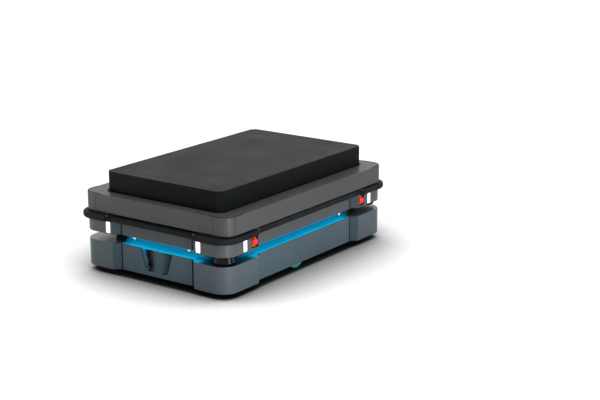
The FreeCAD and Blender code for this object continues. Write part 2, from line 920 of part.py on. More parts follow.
def lift_columns():
    """Four upright guide tubes of the lift, standing on the frame plate."""
    tubes = []
    for sx, sy in QUARTERS:
        tube = rod(column_radius, (sx * column_x, sy * column_y, frame_top), UP, column_top - frame_top)
        bore = rod(rod_radius + running_gap, (sx * column_x, sy * column_y, frame_top + column_floor), UP,
                   column_top)
        tubes.append(tube.cut(bore))
    return tubes


def lift_outline(inset):
    """Outline of the lift platform with its cut corners."""
    cut = lift_chamfer - (2 - math.sqrt(2)) * inset
    width = lift_half_width - inset
    length = lift_half_length - inset
    return all_round([(width, length - cut, 0), (width - cut, length, 0)])


def lift_platform():
    """Load platform with skirt, stiffening ribs, four rods and threaded load holes."""
    under = lift_top - lift_plate
    body = slab(lift_outline(0), lift_top - lift_skirt_height, lift_top)
    body = body.makeFillet(lift_edge_blend, level_edges(body, lift_top))
    body = body.cut(slab(lift_outline(lift_skirt), lift_top - lift_skirt_height - overshoot, under))
    rib_reach = lift_half_length - lift_skirt
    parts = []
    for sx in (1, -1):
        parts.append(block(sx * (column_x - rib_height / 2), sx * (column_x + rib_height / 2), -rib_reach,
                           rib_reach, under - rib_height, under))
    for sx, sy in QUARTERS:
        parts.append(rod(rod_radius, (sx * column_x, sy * column_y, rod_bottom), UP, under - rod_bottom))
        parts.append(rod(load_boss_radius, (sx * load_hole_x, sy * load_hole_y, under - rib_height), UP,
                         rib_height))
    body = body.multiFuse(parts)
    for sx, sy in QUARTERS:
        start = (sx * load_hole_x, sy * load_hole_y, under - rib_height - overshoot)
        body = body.cut(rod(load_hole_radius, start, UP, lift_plate + rib_height + 2 * overshoot))
    return body.removeSplitter()


def cover_outline(inset):
    """Outline of the lift housing, moved in by an inset."""
    return all_round([(cover_half_width - inset, cover_half_length - inset, cover_radius - inset)])


def cover_ring():
    """Wall ring of the lift housing below its top plate."""
    high = cover_top - cover_skin
    outer = slab(cover_outline(0), cover_bottom, high)
    return outer.cut(slab(cover_outline(cover_skin), cover_bottom - overshoot, high + overshoot))


def cover_top_plate():
    """Top plate of the lift housing with the lift opening and a groove round each corner."""
    plate = slab(cover_outline(0), cover_top - cover_skin, cover_top)
    plate = plate.makeFillet(cover_edge_blend, level_edges(plate, cover_top))
    plate = plate.cut(slab(lift_outline(-cover_opening_gap), cover_bottom, lift_top))
    groove = slab(cover_outline(groove_inset), cover_top - groove_depth, lift_top)
    groove = groove.cut(slab(cover_outline(groove_inset + groove_width), cover_bottom, lift_top))
    for sx, sy in QUARTERS:
        window = block(sx * groove_start_x, sx * cover_half_width, sy * groove_start_y,
                       sy * cover_half_length, cover_bottom, lift_top)
        plate = plate.cut(groove.common(window))
    return plate


def cover_tab(x, y, half_x, half_y):
    """Foot that carries a housing wall on the deck plate."""
    return block(x - half_x, x + half_x, y - half_y, y + half_y, deck_top, cover_bottom + tab_overlap)


def cover_walls():
    """Four straight walls of the lift housing with their feet."""
    ring = cover_ring()
    seam_x = cover_seam_x - cover_seam_gap
    seam_y = cover_seam_y - cover_seam_gap
    tab_x = cover_half_width - cover_skin - tab_thickness / 2
    tab_y = cover_half_length - cover_skin - tab_thickness / 2
    end = ring.common(block(-seam_x, seam_x, seam_y, cover_half_length, 0, lift_top))
    for step in (-1, 0, 1):
        end = end.fuse(cover_tab(step * tab_spacing_x, tab_y, tab_half, tab_thickness / 2))
    side = ring.common(block(seam_x, cover_half_width, -seam_y, seam_y, 0, lift_top))
    for step in (-1, 0, 1):
        side = side.fuse(cover_tab(tab_x, step * tab_spacing_y, tab_thickness / 2, tab_half))
    return end, flip(end, 1, -1), side, flip(side, -1, 1)


def cover_corners():
    """Four rounded corner pieces of the lift housing with their feet."""
    seam_x = cover_seam_x + cover_seam_gap
    seam_y = cover_seam_y + cover_seam_gap
    corner = cover_ring().common(block(seam_x, cover_half_width, seam_y, cover_half_length, 0, lift_top))
    tab_y = cover_half_length - cover_skin - tab_thickness / 2
    corner = corner.fuse(cover_tab(seam_x + tab_half / 2, tab_y, tab_half / 2, tab_thickness / 2))
    return [flip(corner.removeSplitter(), sx, sy) for sx, sy in QUARTERS]


def caster_fork():
    """Swivel fork of a caster at the origin of its plan, trailing towards +y."""
    fork = rod(fork_crown_radius, (0, 0, crown_bottom), UP, crown_top - crown_bottom)
    fork = fork.fuse(rod(fork_pin, (0, 0, crown_top - overshoot), UP, fork_pin_length + overshoot))
    inner = caster_width / 2 + fork_side_gap
    leg_profile = [
        (-fork_crown_radius + fork_eye, crown_bottom + overshoot, 0),
        (fork_crown_radius - overshoot, crown_bottom + overshoot, 0),
        (caster_trail + fork_eye, caster_radius + fork_eye / 2, 0),
        (caster_trail + fork_eye, caster_radius - fork_eye, fork_eye / 2),
        (caster_trail - fork_eye, caster_radius - fork_eye, fork_eye / 2),
        (caster_trail - fork_eye, caster_radius + fork_eye / 2, 0),
    ]
    leg = side_prism(leg_profile, inner, inner + fork_leg_thickness)
    fork = fork.fuse(leg).fuse(flip(leg, -1, 1))
    reach = inner + fork_leg_thickness
    fork = fork.fuse(rod(wheel_pin, (-reach, caster_trail, caster_radius), SIDE, 2 * reach))
    return fork.removeSplitter()


def caster_wheel():
    """Caster wheel with a slim web, on its axle place."""
    half = caster_width / 2
    wheel = rod(caster_radius, (-half, caster_trail, caster_radius), SIDE, caster_width)
    wheel = wheel.makeFillet(caster_blend, face_edges_x(wheel, half) + face_edges_x(wheel, -half))
    dish = rod(web_radius, (web_half, caster_trail, caster_radius), SIDE, half)
    dish = dish.cut(rod(wheel_boss_radius, (0, caster_trail, caster_radius), SIDE, caster_width))
    wheel = wheel.cut(dish).cut(flip(dish, -1, 1))
    return wheel.cut(rod(wheel_pin + running_gap, (-caster_width, caster_trail, caster_radius), SIDE,
                         2 * caster_width))


def drive_arm():
    """Swing arm of the right drive unit with motor housing, pivot pin and axle."""
    lug = rod(arm_lug_radius, (arm_lug_x, drive_pivot_y, drive_pivot_z), SIDE, arm_lug_length)
    pin_extra = arm_ear_gap + arm_ear_thickness
    pin = rod(drive_pin, (arm_lug_x - pin_extra, drive_pivot_y, drive_pivot_z), SIDE,
              arm_lug_length + 2 * pin_extra)
    beam = side_prism([
        (drive_y - arm_beam_half, drive_radius - arm_beam_half, arm_beam_half / 2),
        (drive_pivot_y, drive_pivot_z - arm_beam_half, 0),
        (drive_pivot_y, drive_pivot_z + arm_beam_half, 0),
        (drive_y - arm_beam_half, drive_radius + arm_beam_half, arm_beam_half / 2),
    ], gear_x, gear_x + arm_beam_thickness)
    motor_y = drive_y + motor_reach
    motor_z = drive_radius + motor_rise
    motor = rod(motor_radius, (motor_inner, motor_y, motor_z), SIDE, gear_x - motor_inner + overshoot)
    gear = rod(gear_radius, (gear_x, drive_y, drive_radius), SIDE, gear_width)
    flange = rod(motor_radius, (gear_x, motor_y, motor_z), SIDE, gear_width)
    axle_start = gear_x + gear_width - overshoot
    axle = rod(axle_radius, (axle_start, drive_y, drive_radius), SIDE, gear_gap + axle_depth)
    return lug.multiFuse([pin, beam, motor, gear, flange, axle]).removeSplitter()


def drive_hub():
    """Hub of the right drive wheel, dished on its outer face."""
    hub = rod(drive_rim, (drive_inner, drive_y, drive_radius), SIDE, drive_width)
    dish_x = drive_outer - hub_dish_depth
    dish = rod(hub_dish_radius, (dish_x, drive_y, drive_radius), SIDE, drive_width)
    dish = dish.cut(rod(hub_boss_radius, (dish_x, drive_y, drive_radius), SIDE, hub_dish_depth * 0.7))
    hub = hub.cut(dish)
    for i in range(hub_bolt_count):
        angle = 2 * math.pi * i / hub_bolt_count
        start = (dish_x - drive_width / 3, drive_y + hub_bolt_circle * math.cos(angle),
                 drive_radius + hub_bolt_circle * math.sin(angle))
        hub = hub.cut(rod(hub_bolt_radius, start, SIDE, drive_width))
    return hub.cut(rod(axle_radius + running_gap, (drive_inner - overshoot, drive_y, drive_radius), SIDE,
                       axle_depth + overshoot))


def drive_tyre():
    """Tyre of the right drive wheel."""
    tyre = rod(drive_radius, (drive_inner, drive_y, drive_radius), SIDE, drive_width)
    rims = face_edges_x(tyre, drive_inner) + face_edges_x(tyre, drive_outer)
    tyre = tyre.makeFillet(drive_tyre_blend, rims)
    return tyre.cut(rod(drive_rim, (drive_inner - overshoot, drive_y, drive_radius), SIDE,
                        drive_width + 2 * overshoot))


def key_place():
    """Centre of the key on the outer face of the operator panel."""
    x = control_x + control_width - key_inset
    y = core_half_length + control_wall_gap + control_depth
    z = upper_bottom - key_drop
    return x, y, z


def control_panel():
    """Operator panel in the open rear right corner of the scan slot."""
    y0 = core_half_length + control_wall_gap
    z0 = upper_bottom - control_height
    body = block(control_x, control_x + control_width, y0, y0 + control_depth, z0, upper_bottom)
    body = body.makeFillet(control_blend, level_edges(body, z0))
    x, y, z = key_place()
    bore_start = y - key_barrel_in - overshoot
    return body.cut(rod(key_radius + running_gap, (x, bore_start, z), ALONG, control_depth))


def mode_key():
    """Key of the operator panel."""
    x, y, z = key_place()
    barrel = rod(key_radius, (x, y - key_barrel_in, z), ALONG, key_barrel_in + key_barrel_out)
    half = key_bow_thickness / 2
    bow_start = y + key_barrel_out - overshoot
    bow = block(x - half, x + half, bow_start, bow_start + key_bow_reach,
                z - key_bow_width / 2, z + key_bow_width / 2)
    rims = [e for e in bow.Edges if e.BoundBox.XLength > half]
    bow = bow.makeFillet(control_blend, rims)
    return barrel.fuse(bow).removeSplitter()


def bay_box(sy, height):
    """Box in the middle bay of the frame, standing on the belly plate."""
    return block(-bay_half_width, bay_half_width, sy * bay_start, sy * (bay_start + bay_length),
                 belly_top, belly_top + height)


def corner_name(sx, sy):
    """Name of a corner from its signs."""
    return ("front" if sy < 0 else "rear") + "_" + ("left" if sx < 0 else "right")


def save_frame():
    """Frame, plates and what stands inside them."""
    save("chassis_frame", chassis_frame())
    save("frame_members", *frame_members())
    save("belly_plate", belly_plate())
    save("deck_plate", deck_plate())
    save("slot_wall", slot_wall())
    save("battery_pack", bay_box(1, battery_height))
    save("electronics_box", bay_box(-1, electronics_height))
    save("control_panel", control_panel())
    save("mode_key", mode_key())


def save_covers():
    """Covers, panels, lamps, stops, bumper band and light guides."""
    lower = lower_module()
    plain_upper = upper_module(False)
    scanner_upper = upper_module(True)
    lenses = []
    plates = []
    for sx, sy in QUARTERS:
        name = corner_name(sx, sy)
        upper = plain_upper if sx == sy else scanner_upper
        save("lower_corner_" + name, flip(lower, sx, sy))
        save("upper_corner_" + name, flip(upper, sx, sy))
        save("estop_button_" + name, flip(stop_button(), sx, sy))
        lenses.extend(flip(lens, sx, sy) for lens in signal_lenses())
        plates.append(flip(stop_plate(), sx, sy))
    save("signal_lights", *lenses)
    save("estop_plates", *plates)
    save("upper_panels", upper_end_panel(), flip(upper_end_panel(), 1, -1),
         upper_side_panel(), flip(upper_side_panel(), -1, 1))
    save("lower_panel_front", flip(end_panel(True), 1, -1))
    save("lower_panel_rear", end_panel(False))
    save("lower_panel_right", side_panel())
    save("lower_panel_left", flip(side_panel(), -1, 1))
    camera = camera_body(0, camera_proud).fuse(camera_bracket())
    save("camera_modules", *[flip(camera, sx, -1) for sx in (1, -1)])
    save("bumper_band", *bumper_band())
    save("light_strips", *light_strips())
    for name, button in placed_buttons(release_button()).items():
        save("release_button_" + name, button)


def save_scanners():
    """Safety scanners in the front right and rear left corners of the slot."""
    housings = []
    windows = []
    for name, sx, sy in (("front", 1, -1), ("rear", -1, 1)):
        x = sx * scanner_x
        y = sy * scanner_y
        housings.extend(scanner_housing(x, y))
        windows.append(scanner_window(x, y))
        save("scanner_mirror_" + name, scanner_mirror(x, y))
    save("scanner_housings", *housings)
    save("scanner_windows", *windows)


def save_lift():
    """Lift housing, columns and platform."""
    save("cover_top", cover_top_plate())
    save("cover_walls", *cover_walls())
    save("cover_corners", *cover_corners())
    save("lift_columns", *lift_columns())
    save("lift_platform", lift_platform())


def save_wheels():
    """Casters and drive units."""
    for sx, sy in QUARTERS:
        name = corner_name(sx, sy)
        save("caster_fork_" + name, moved(caster_fork(), sx * caster_x, sy * caster_y, 0))
        save("caster_wheel_" + name, moved(caster_wheel(), sx * caster_x, sy * caster_y, 0))
    for name, sx in (("left", -1), ("right", 1)):
        save("drive_arm_" + name, flip(drive_arm(), sx, 1))
        save("drive_hub_" + name, flip(drive_hub(), sx, 1))
        save("drive_tyre_" + name, flip(drive_tyre(), sx, 1))


save_frame()
save_covers()
save_scanners()
save_lift()
save_wheels()
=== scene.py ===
# %% [markdown]
# This lesson dresses a low transport robot that was built as solid parts. The parts come in as a fixed
# frame in metres: X is the width, minus Y the front, Z is up and the floor is z = 0. The steps give every
# part a finish, add the small pieces that a solid model leaves out, and light the result as in a
# product picture on white.

# %% Load the solid parts
import bpy
import json
import math
from mathutils import Matrix, Vector

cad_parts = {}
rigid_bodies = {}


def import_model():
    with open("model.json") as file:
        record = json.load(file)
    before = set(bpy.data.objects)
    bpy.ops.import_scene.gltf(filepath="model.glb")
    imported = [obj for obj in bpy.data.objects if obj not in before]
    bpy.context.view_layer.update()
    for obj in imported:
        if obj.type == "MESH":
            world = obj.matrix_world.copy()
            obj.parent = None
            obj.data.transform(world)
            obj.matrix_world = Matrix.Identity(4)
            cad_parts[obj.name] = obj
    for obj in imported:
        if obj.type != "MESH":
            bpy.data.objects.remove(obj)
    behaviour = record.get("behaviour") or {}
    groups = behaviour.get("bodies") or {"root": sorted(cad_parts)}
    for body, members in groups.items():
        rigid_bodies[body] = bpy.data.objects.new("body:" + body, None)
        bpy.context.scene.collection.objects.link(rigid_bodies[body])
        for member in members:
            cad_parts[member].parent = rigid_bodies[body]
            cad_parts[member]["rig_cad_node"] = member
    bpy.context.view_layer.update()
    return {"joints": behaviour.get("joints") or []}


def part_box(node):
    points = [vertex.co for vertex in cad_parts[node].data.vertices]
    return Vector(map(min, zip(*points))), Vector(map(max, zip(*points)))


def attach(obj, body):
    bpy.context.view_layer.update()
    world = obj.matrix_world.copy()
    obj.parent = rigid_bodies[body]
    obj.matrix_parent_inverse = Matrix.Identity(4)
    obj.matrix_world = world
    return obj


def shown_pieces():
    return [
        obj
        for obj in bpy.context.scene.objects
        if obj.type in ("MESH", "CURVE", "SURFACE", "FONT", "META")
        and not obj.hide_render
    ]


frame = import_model()

# %% [markdown]
# A colour is written as the hex value that a picture shows. Shaders count in linear light, so one
# function turns the one into the other.

# %% Colours from hex values
def linear(hex_value):
    channels = []
    for i in (0, 2, 4):
        c = int(hex_value[i:i + 2], 16) / 255.0
        channels.append(c / 12.92 if c <= 0.04045 else ((c + 0.055) / 1.055) ** 2.4)
    return (*channels, 1.0)


print("mid grey is", [round(c, 3) for c in linear("808080")])

# %% [markdown]
# A material is a small tree of nodes. One helper fills the inputs of a node with values or with links
# from other nodes, where a whole node stands for its first output in use. Another adds a node with its
# options. The shader itself is filled in the same way. Texture sizes are given in millimetres of the
# real surface.

# %% Helpers for materials
MM = 0.001


def fill_inputs(tree, node, inputs):
    for name, value in inputs.items():
        if isinstance(value, bpy.types.Node):
            value = next(socket for socket in value.outputs if socket.enabled)
        if isinstance(value, bpy.types.NodeSocket):
            tree.links.new(value, node.inputs[name])
        else:
            node.inputs[name].default_value = value


def add_node(tree, kind, inputs=None, **settings):
    node = tree.nodes.new("ShaderNode" + kind)
    for key, value in settings.items():
        setattr(node, key, value)
    fill_inputs(tree, node, inputs or {})
    return node


def new_material(name):
    material = bpy.data.materials.new(name)
    material.use_nodes = True
    tree = material.node_tree
    tree.nodes.clear()
    output = tree.nodes.new("ShaderNodeOutputMaterial")
    surface = tree.nodes.new("ShaderNodeBsdfPrincipled")
    tree.links.new(surface.outputs["BSDF"], output.inputs["Surface"])
    place = tree.nodes.new("ShaderNodeTexCoord").outputs["Object"]
    return material, tree, surface, place


def per_mm(size_mm):
    return 1.0 / (size_mm * MM)


print("a 2 mm grain has the scale", per_mm(2))

# %% [markdown]
# Most surfaces vary between two close tones. A cloudy noise picks the tone, either through a ramp with
# stops or, for glossy things, straight through a mix.

# %% Tones that vary over a surface
def set_stops(ramp, stops):
    for element, (position, colour) in zip(ramp.elements, (stops[0], stops[-1])):
        element.position = position
        element.color = linear(colour)
    for position, colour in stops[1:-1]:
        ramp.elements.new(position).color = linear(colour)


def cloudy_tone(tree, place, size_mm, detail, stops):
    cloud = add_node(tree, "TexNoise", {"Vector": place, "Scale": per_mm(size_mm), "Detail": detail})
    tone = add_node(tree, "ValToRGB", {"Fac": cloud})
    set_stops(tone.color_ramp, stops)
    return cloud, tone


def two_tone(tree, surface, place, size_mm, colours, **noise_inputs):
    cloud = add_node(tree, "TexNoise", {"Vector": place, "Scale": per_mm(size_mm), **noise_inputs})
    tint = add_node(tree, "Mix", {
        "Factor": cloud, "A": linear(colours[0]), "B": linear(colours[1])}, data_type="RGBA")
    fill_inputs(tree, surface, {"Base Color": tint})
    return cloud


print("helpers for tones:", cloudy_tone.__name__, two_tone.__name__)

# %% [markdown]
# The covers are moulded ABS with a satin grey coat. Up close such a coat shows a fine orange peel, and
# over a metre its tone drifts a little. Noise at three sizes gives the drift, the speckle and the peel.
# A thin clear layer on top gives the long soft highlights on the rounded corners.

# %% Satin grey coat on moulded ABS
def satin_coat(name, dark, light, coat=0.25, coat_roughness=0.16):
    material, tree, surface, place = new_material(name)
    drift, tone = cloudy_tone(tree, place, 420, 3.0, ((0.3, dark), (0.7, light)))
    speck = add_node(tree, "TexNoise", {"Vector": place, "Scale": per_mm(5), "Detail": 2.0})
    grade = add_node(tree, "MapRange", {
        "Value": speck, "From Min": 0.3, "From Max": 0.7, "To Min": 0.96, "To Max": 1.03})
    mottled = add_node(tree, "VectorMath", {0: tone, 1: grade}, operation="MULTIPLY")
    gloss = add_node(tree, "MapRange", {
        "Value": drift, "From Min": 0.3, "From Max": 0.7, "To Min": 0.42, "To Max": 0.5})
    peel = add_node(tree, "TexNoise", {"Vector": place, "Scale": per_mm(2.5), "Detail": 3.0})
    bump = add_node(tree, "Bump", {"Height": peel, "Strength": 0.1, "Distance": 0.12 * MM})
    fill_inputs(tree, surface, {
        "Base Color": mottled, "Roughness": gloss, "Normal": bump, "Specular IOR Level": 0.2,
        "Coat Weight": coat, "Coat Roughness": coat_roughness})
    return material, tree, surface, place


cover_coat, *cover_shader = satin_coat("satin_grey_cover_coat", "3f4143", "454749")
upper_panel_coat = satin_coat("satin_grey_panel_coat", "43484b", "494e51")[0]
# The low panels get a bluer grey: a painted reflection of bluish surroundings on the same grey coat.
lower_panel_coat, *panel_shader = satin_coat("blue_grey_panel_coat", "404f58", "475862")
print("coats:", cover_coat.name, upper_panel_coat.name, lower_panel_coat.name)

# %% [markdown]
# The corner covers wear the same coat with three differences. It is thicker and a little softer, which
# spreads the highlight on the round edge. Their slanted flanks carry a painted reflection: a darker blue
# that stands for the bluish light they mirror. The wells behind the stop buttons are painted near black.
# A region is a product of tests, each with an operation, a coordinate and limits in real millimetres. The
# feet under the lift housing are painted black too: painted shade that keeps the gap under the housing
# dark.

# %% Corner coats with a painted reflection on the flanks and black wells
flank_x = 242 * MM
flank_y = 414.3 * MM
flank_reach = 15.6 * MM
end_start = 640 * MM
side_start = 417 * MM
stop_y = 458 * MM
stop_z = 244 * MM
well_half_width = 23.2 * MM
well_half_height = 26.2 * MM
well_floor = 451.4 * MM
cover_foot = 311.9 * MM
flank_reflection_blue = "33454f"


def absolute_place(tree, place):
    size = add_node(tree, "VectorMath", {0: place}, operation="ABSOLUTE")
    return tuple(add_node(tree, "SeparateXYZ", {"Vector": size}).outputs)


def region(tree, *tests):
    whole = None
    for operation, *values in tests:
        part = add_node(tree, "Math", dict(enumerate(values)), operation=operation)
        if whole:
            part = add_node(tree, "Math", {0: whole, 1: part}, operation="MULTIPLY")
        whole = part
    return whole


def paint_over(tree, surface, mask, colour):
    under = surface.inputs["Base Color"].links[0].from_socket
    mix = add_node(tree, "Mix", {"Factor": mask, "A": under, "B": linear(colour)}, data_type="RGBA")
    fill_inputs(tree, surface, {"Base Color": mix})


def tint_flanks(tree, surface, place):
    x, y, z = absolute_place(tree, place)
    end_flank = region(tree, ("COMPARE", x, flank_x, flank_reach), ("GREATER_THAN", y, end_start))
    side_flank = region(tree, ("COMPARE", y, flank_y, flank_reach), ("GREATER_THAN", x, side_start))
    flank = add_node(tree, "Math", {0: end_flank, 1: side_flank}, operation="MAXIMUM")
    # Painted reflection: the slanted flanks get a darker blue.
    paint_over(tree, surface, flank, flank_reflection_blue)


def blacken_feet(tree, surface, place):
    z = absolute_place(tree, place)[2]
    # Painted shade: below the housing the feet are painted near black.
    paint_over(tree, surface, region(tree, ("LESS_THAN", z, cover_foot)), "050606")


def blacken_wells(tree, surface, place):
    x, y, z = absolute_place(tree, place)
    well = region(tree, ("COMPARE", y, stop_y, well_half_width), ("COMPARE", z, stop_z, well_half_height),
                  ("LESS_THAN", x, well_floor))
    paint_over(tree, surface, well, "08090a")


upper_corner_coat, *shader = satin_coat("satin_grey_corner_coat", "424648", "484c4e", 0.5, 0.3)
tint_flanks(*shader)
blacken_wells(*shader)
blacken_feet(*cover_shader)
# The low corners get the same bluer grey, again a painted blue reflection.
lower_corner_coat, *corner_shader = satin_coat("blue_grey_corner_coat", "404a50", "465259", 0.5, 0.3)
tint_flanks(*corner_shader)
print("corner coats:", upper_corner_coat.name, lower_corner_coat.name)

# %% [markdown]
# The lit strip ends at the corner covers. At the two corners with a scanner the slot stays open, so the
# strip spills its light onto the flat top of the cover: brightest beside its tip, gone after 150 mm. This
# spilled light is painted on as a glow, from a ramp over the distance from the nearer strip tip. Under
# the glow the top is painted near black, a painted shade of the open slot, so the glow keeps its full
# colour.
# The strip also lights the outer wall of the left camera pocket from above; this light is painted on as a
# glow that fades downwards and inwards, and the wall under it is painted a dark blue as painted shade.
# The tops are polished, so at a flat angle they mirror the bright surroundings. Deep in the pockets
# little light arrives, and an occlusion node darkens the paint there.

# %% Painted spilled light and shade on corner tops and pocket flanks
end_strip_tip = (0.248, 0.66, 0.164)
side_strip_tip = (0.436, 0.42, 0.164)
spill_length = 150 * MM
spill_stops = ((0.0, "00a4dc"), (0.14, "009cd0"), (0.24, "006c94"), (0.34, "002838"), (0.5, "000e14"),
               (1.0, "000000"))
top_face = 163.4 * MM
pocket_edge_top = 98 * MM
pocket_lit_from = 64 * MM
pocket_lit_to = 84 * MM
pocket_low = 66 * MM
pocket_high = 162 * MM
pocket_middle_y = -614 * MM
pocket_reach_y = 30 * MM


def open_corner(tree, place):
    x, y, z = add_node(tree, "SeparateXYZ", {"Vector": place}).outputs
    product = add_node(tree, "Math", {0: x, 1: y}, operation="MULTIPLY")
    return region(tree, ("LESS_THAN", product, 0.0))


def spill_glow(tree, surface, place):
    z = absolute_place(tree, place)[2]
    size = add_node(tree, "VectorMath", {0: place}, operation="ABSOLUTE")
    from_end, from_side = (add_node(tree, "VectorMath", {0: size, 1: tip}, operation="DISTANCE")
                           for tip in (end_strip_tip, side_strip_tip))
    away = add_node(tree, "Math", {0: from_end, 1: from_side}, operation="MINIMUM")
    share = add_node(tree, "Math", {0: away, 1: spill_length}, operation="DIVIDE", use_clamp=True)
    fade = add_node(tree, "ValToRGB", {"Fac": share})
    set_stops(fade.color_ramp, spill_stops)
    top = region(tree, ("GREATER_THAN", z, top_face))
    lit = add_node(tree, "Math", {0: top, 1: open_corner(tree, place)}, operation="MULTIPLY")
    # Painted shade: the lit top is painted near black.
    paint_over(tree, surface, lit, "0a1013")
    polish = add_node(tree, "MapRange", {"Value": top, "To Min": 0.5, "To Max": 1.0})
    fill_inputs(tree, surface, {"Coat Weight": polish, "Emission Color": fade, "Emission Strength": lit})


def pocket_glow(tree, surface, place):
    x, y, z = add_node(tree, "SeparateXYZ", {"Vector": place}).outputs
    outward = add_node(tree, "MapRange", {
        "Value": x, "From Min": -pocket_lit_from, "From Max": -pocket_lit_to})
    behind = region(tree, ("COMPARE", y, pocket_middle_y, pocket_reach_y))
    wall = region(tree, ("MULTIPLY", outward, behind), ("GREATER_THAN", x, -pocket_edge_top))
    height = add_node(tree, "MapRange", {"Value": z, "From Min": pocket_low, "From Max": pocket_high})
    glow = add_node(tree, "Math", {0: wall, 1: height}, operation="MULTIPLY")
    # Painted shade: the lit pocket wall is painted dark blue.
    paint_over(tree, surface, wall, "0a1c24")
    dull = add_node(tree, "MapRange", {"Value": behind, "To Min": 0.25, "To Max": 0.0})
    fill_inputs(tree, surface, {
        "Coat Weight": dull, "Emission Color": linear("006088"), "Emission Strength": glow})


def deepen(tree, surface, reach):
    under = surface.inputs["Base Color"].links[0].from_socket
    contact = add_node(tree, "AmbientOcclusion", {"Distance": reach}, samples=8)
    shade = add_node(tree, "MapRange", {
        "Value": contact.outputs["AO"], "From Min": 0.35, "From Max": 0.9, "To Min": 0.25})
    darker = add_node(tree, "VectorMath", {0: under, 1: shade}, operation="MULTIPLY")
    fill_inputs(tree, surface, {"Base Color": darker})


spill_glow(*corner_shader)
pocket_glow(*panel_shader)
deepen(*panel_shader[:2], 45 * MM)
print("glow on", lower_corner_coat.name, "and", lower_panel_coat.name)

# %% [markdown]
# The band is moulded EPDM rubber: matt, nearly black, with a fine grain and a grey bloom. Above every
# signal lamp a smooth insert is moulded in, so a mask polishes the band there. Across both ends, between
# the steps, the upper ledge of the band lies in the shade of the housing, and this shade is painted on in
# near black.

# %% Moulded rubber of the bumper band
light_x = 283 * MM
light_y = 532 * MM
insert_reach = 18 * MM
band_step_x = 281 * MM
band_ledge = 297 * MM


def band_rubber():
    material, tree, surface, place = new_material("moulded_epdm_rubber")
    x, y, z = absolute_place(tree, place)
    at_end = region(tree, ("COMPARE", x, light_x, insert_reach))
    at_side = region(tree, ("COMPARE", y, light_y, insert_reach))
    insert = add_node(tree, "Math", {0: at_end, 1: at_side}, operation="MAXIMUM")
    tone = cloudy_tone(tree, place, 90, 5.0, ((0.35, "111314"), (0.75, "191b1c")))[1]
    fill_inputs(tree, surface, {"Base Color": tone})
    paint_over(tree, surface, insert, "0a0d0f")
    # Painted shade of the housing on the upper ledge.
    ledge = region(tree, ("LESS_THAN", x, band_step_x), ("GREATER_THAN", z, band_ledge))
    paint_over(tree, surface, ledge, "020303")
    polish = add_node(tree, "MapRange", {"Value": insert, "To Min": 0.6, "To Max": 0.3})
    grain = add_node(tree, "TexVoronoi", {"Vector": place, "Scale": per_mm(1.6)})
    bump = add_node(tree, "Bump", {"Height": grain, "Strength": 0.25, "Distance": 0.2 * MM})
    fill_inputs(tree, surface, {"Roughness": polish, "Normal": bump, "Specular IOR Level": 0.12})
    return material


rubber = band_rubber()
print("band:", rubber.name)

# %% [markdown]
# Steel parts are powder coated. Powder melts to a lightly pebbled film, black and half matt. The lift
# platform has a smoother film than the frame, so one function makes both.

# %% Powder coated steel
def powder_coat(name, dark, light, roughness, pebble_mm, shine):
    material, tree, surface, place = new_material(name)
    cloud, tone = cloudy_tone(tree, place, 260, 4.0, ((0.35, dark), (0.7, light)))
    pebble = add_node(tree, "TexNoise", {"Vector": place, "Scale": per_mm(pebble_mm), "Detail": 2.0})
    bump = add_node(tree, "Bump", {"Height": pebble, "Strength": 0.3, "Distance": 0.12 * MM})
    sheen = add_node(tree, "MapRange", {
        "Value": cloud, "From Min": 0.3, "From Max": 0.7, "To Min": roughness - 0.04,
        "To Max": roughness + 0.05})
    fill_inputs(tree, surface, {
        "Base Color": tone, "Normal": bump, "Roughness": sheen, "Specular IOR Level": shine})
    return material


frame_coat = powder_coat("powder_coated_steel", "101112", "1a1c1d", 0.55, 3.0, 0.2)
platform_coat = powder_coat("smooth_black_coat_on_steel", "06090b", "090d0f", 0.45, 2.0, 0.08)
print("steel:", frame_coat.name, platform_coat.name)

# %% [markdown]
# Smooth black plastic is polished, so it mirrors the lit strip. Only faint swirl marks break the
# mirror. Soft seals and dark glass differ from it in roughness and tone alone.

# %% Polished black plastic, glass and seals
def polished_black(name, colours, roughness, shine):
    material, tree, surface, place = new_material(name)
    swirl = two_tone(tree, surface, place, 14, colours, Detail=6.0, Distortion=1.5)
    haze = add_node(tree, "MapRange", {
        "Value": swirl, "From Min": 0.35, "From Max": 0.75, "To Min": roughness,
        "To Max": roughness + 0.1})
    fill_inputs(tree, surface, {"Roughness": haze, "Specular IOR Level": shine})
    return material


black_plastic = polished_black("polished_black_plastic", ("030404", "060707"), 0.2, 0.12)
scanner_glass = polished_black("tinted_scanner_window", ("020203", "040405"), 0.08, 0.16)
camera_glass = polished_black("camera_window_glass", ("010101", "030303"), 0.12, 0.1)
lens_glass = polished_black("camera_lens_glass", ("030405", "07090c"), 0.1, 0.25)
seal_rubber = polished_black("soft_black_seal", ("070a0c", "0a0d0f"), 0.6, 0.08)
print("black:", black_plastic.name, scanner_glass.name, seal_rubber.name)

# %% [markdown]
# Both the strip and the wall behind it fade towards their ends. At a scanner corner the glow runs on
# further than at a closed corner. Four linear fades and three switches pick the right one. The ranges
# are in metres: closed and open corner along the ends, then along the sides.

# %% Fade of the glow towards the corners
strip_fades = ((0.165, 0.262), (0.26, 0.35), (0.345, 0.425), (0.45, 0.54))
wall_fades = ((0.19, 0.23), (0.235, 0.31), (0.29, 0.43), (0.43, 0.52))
end_slot_start = 590 * MM


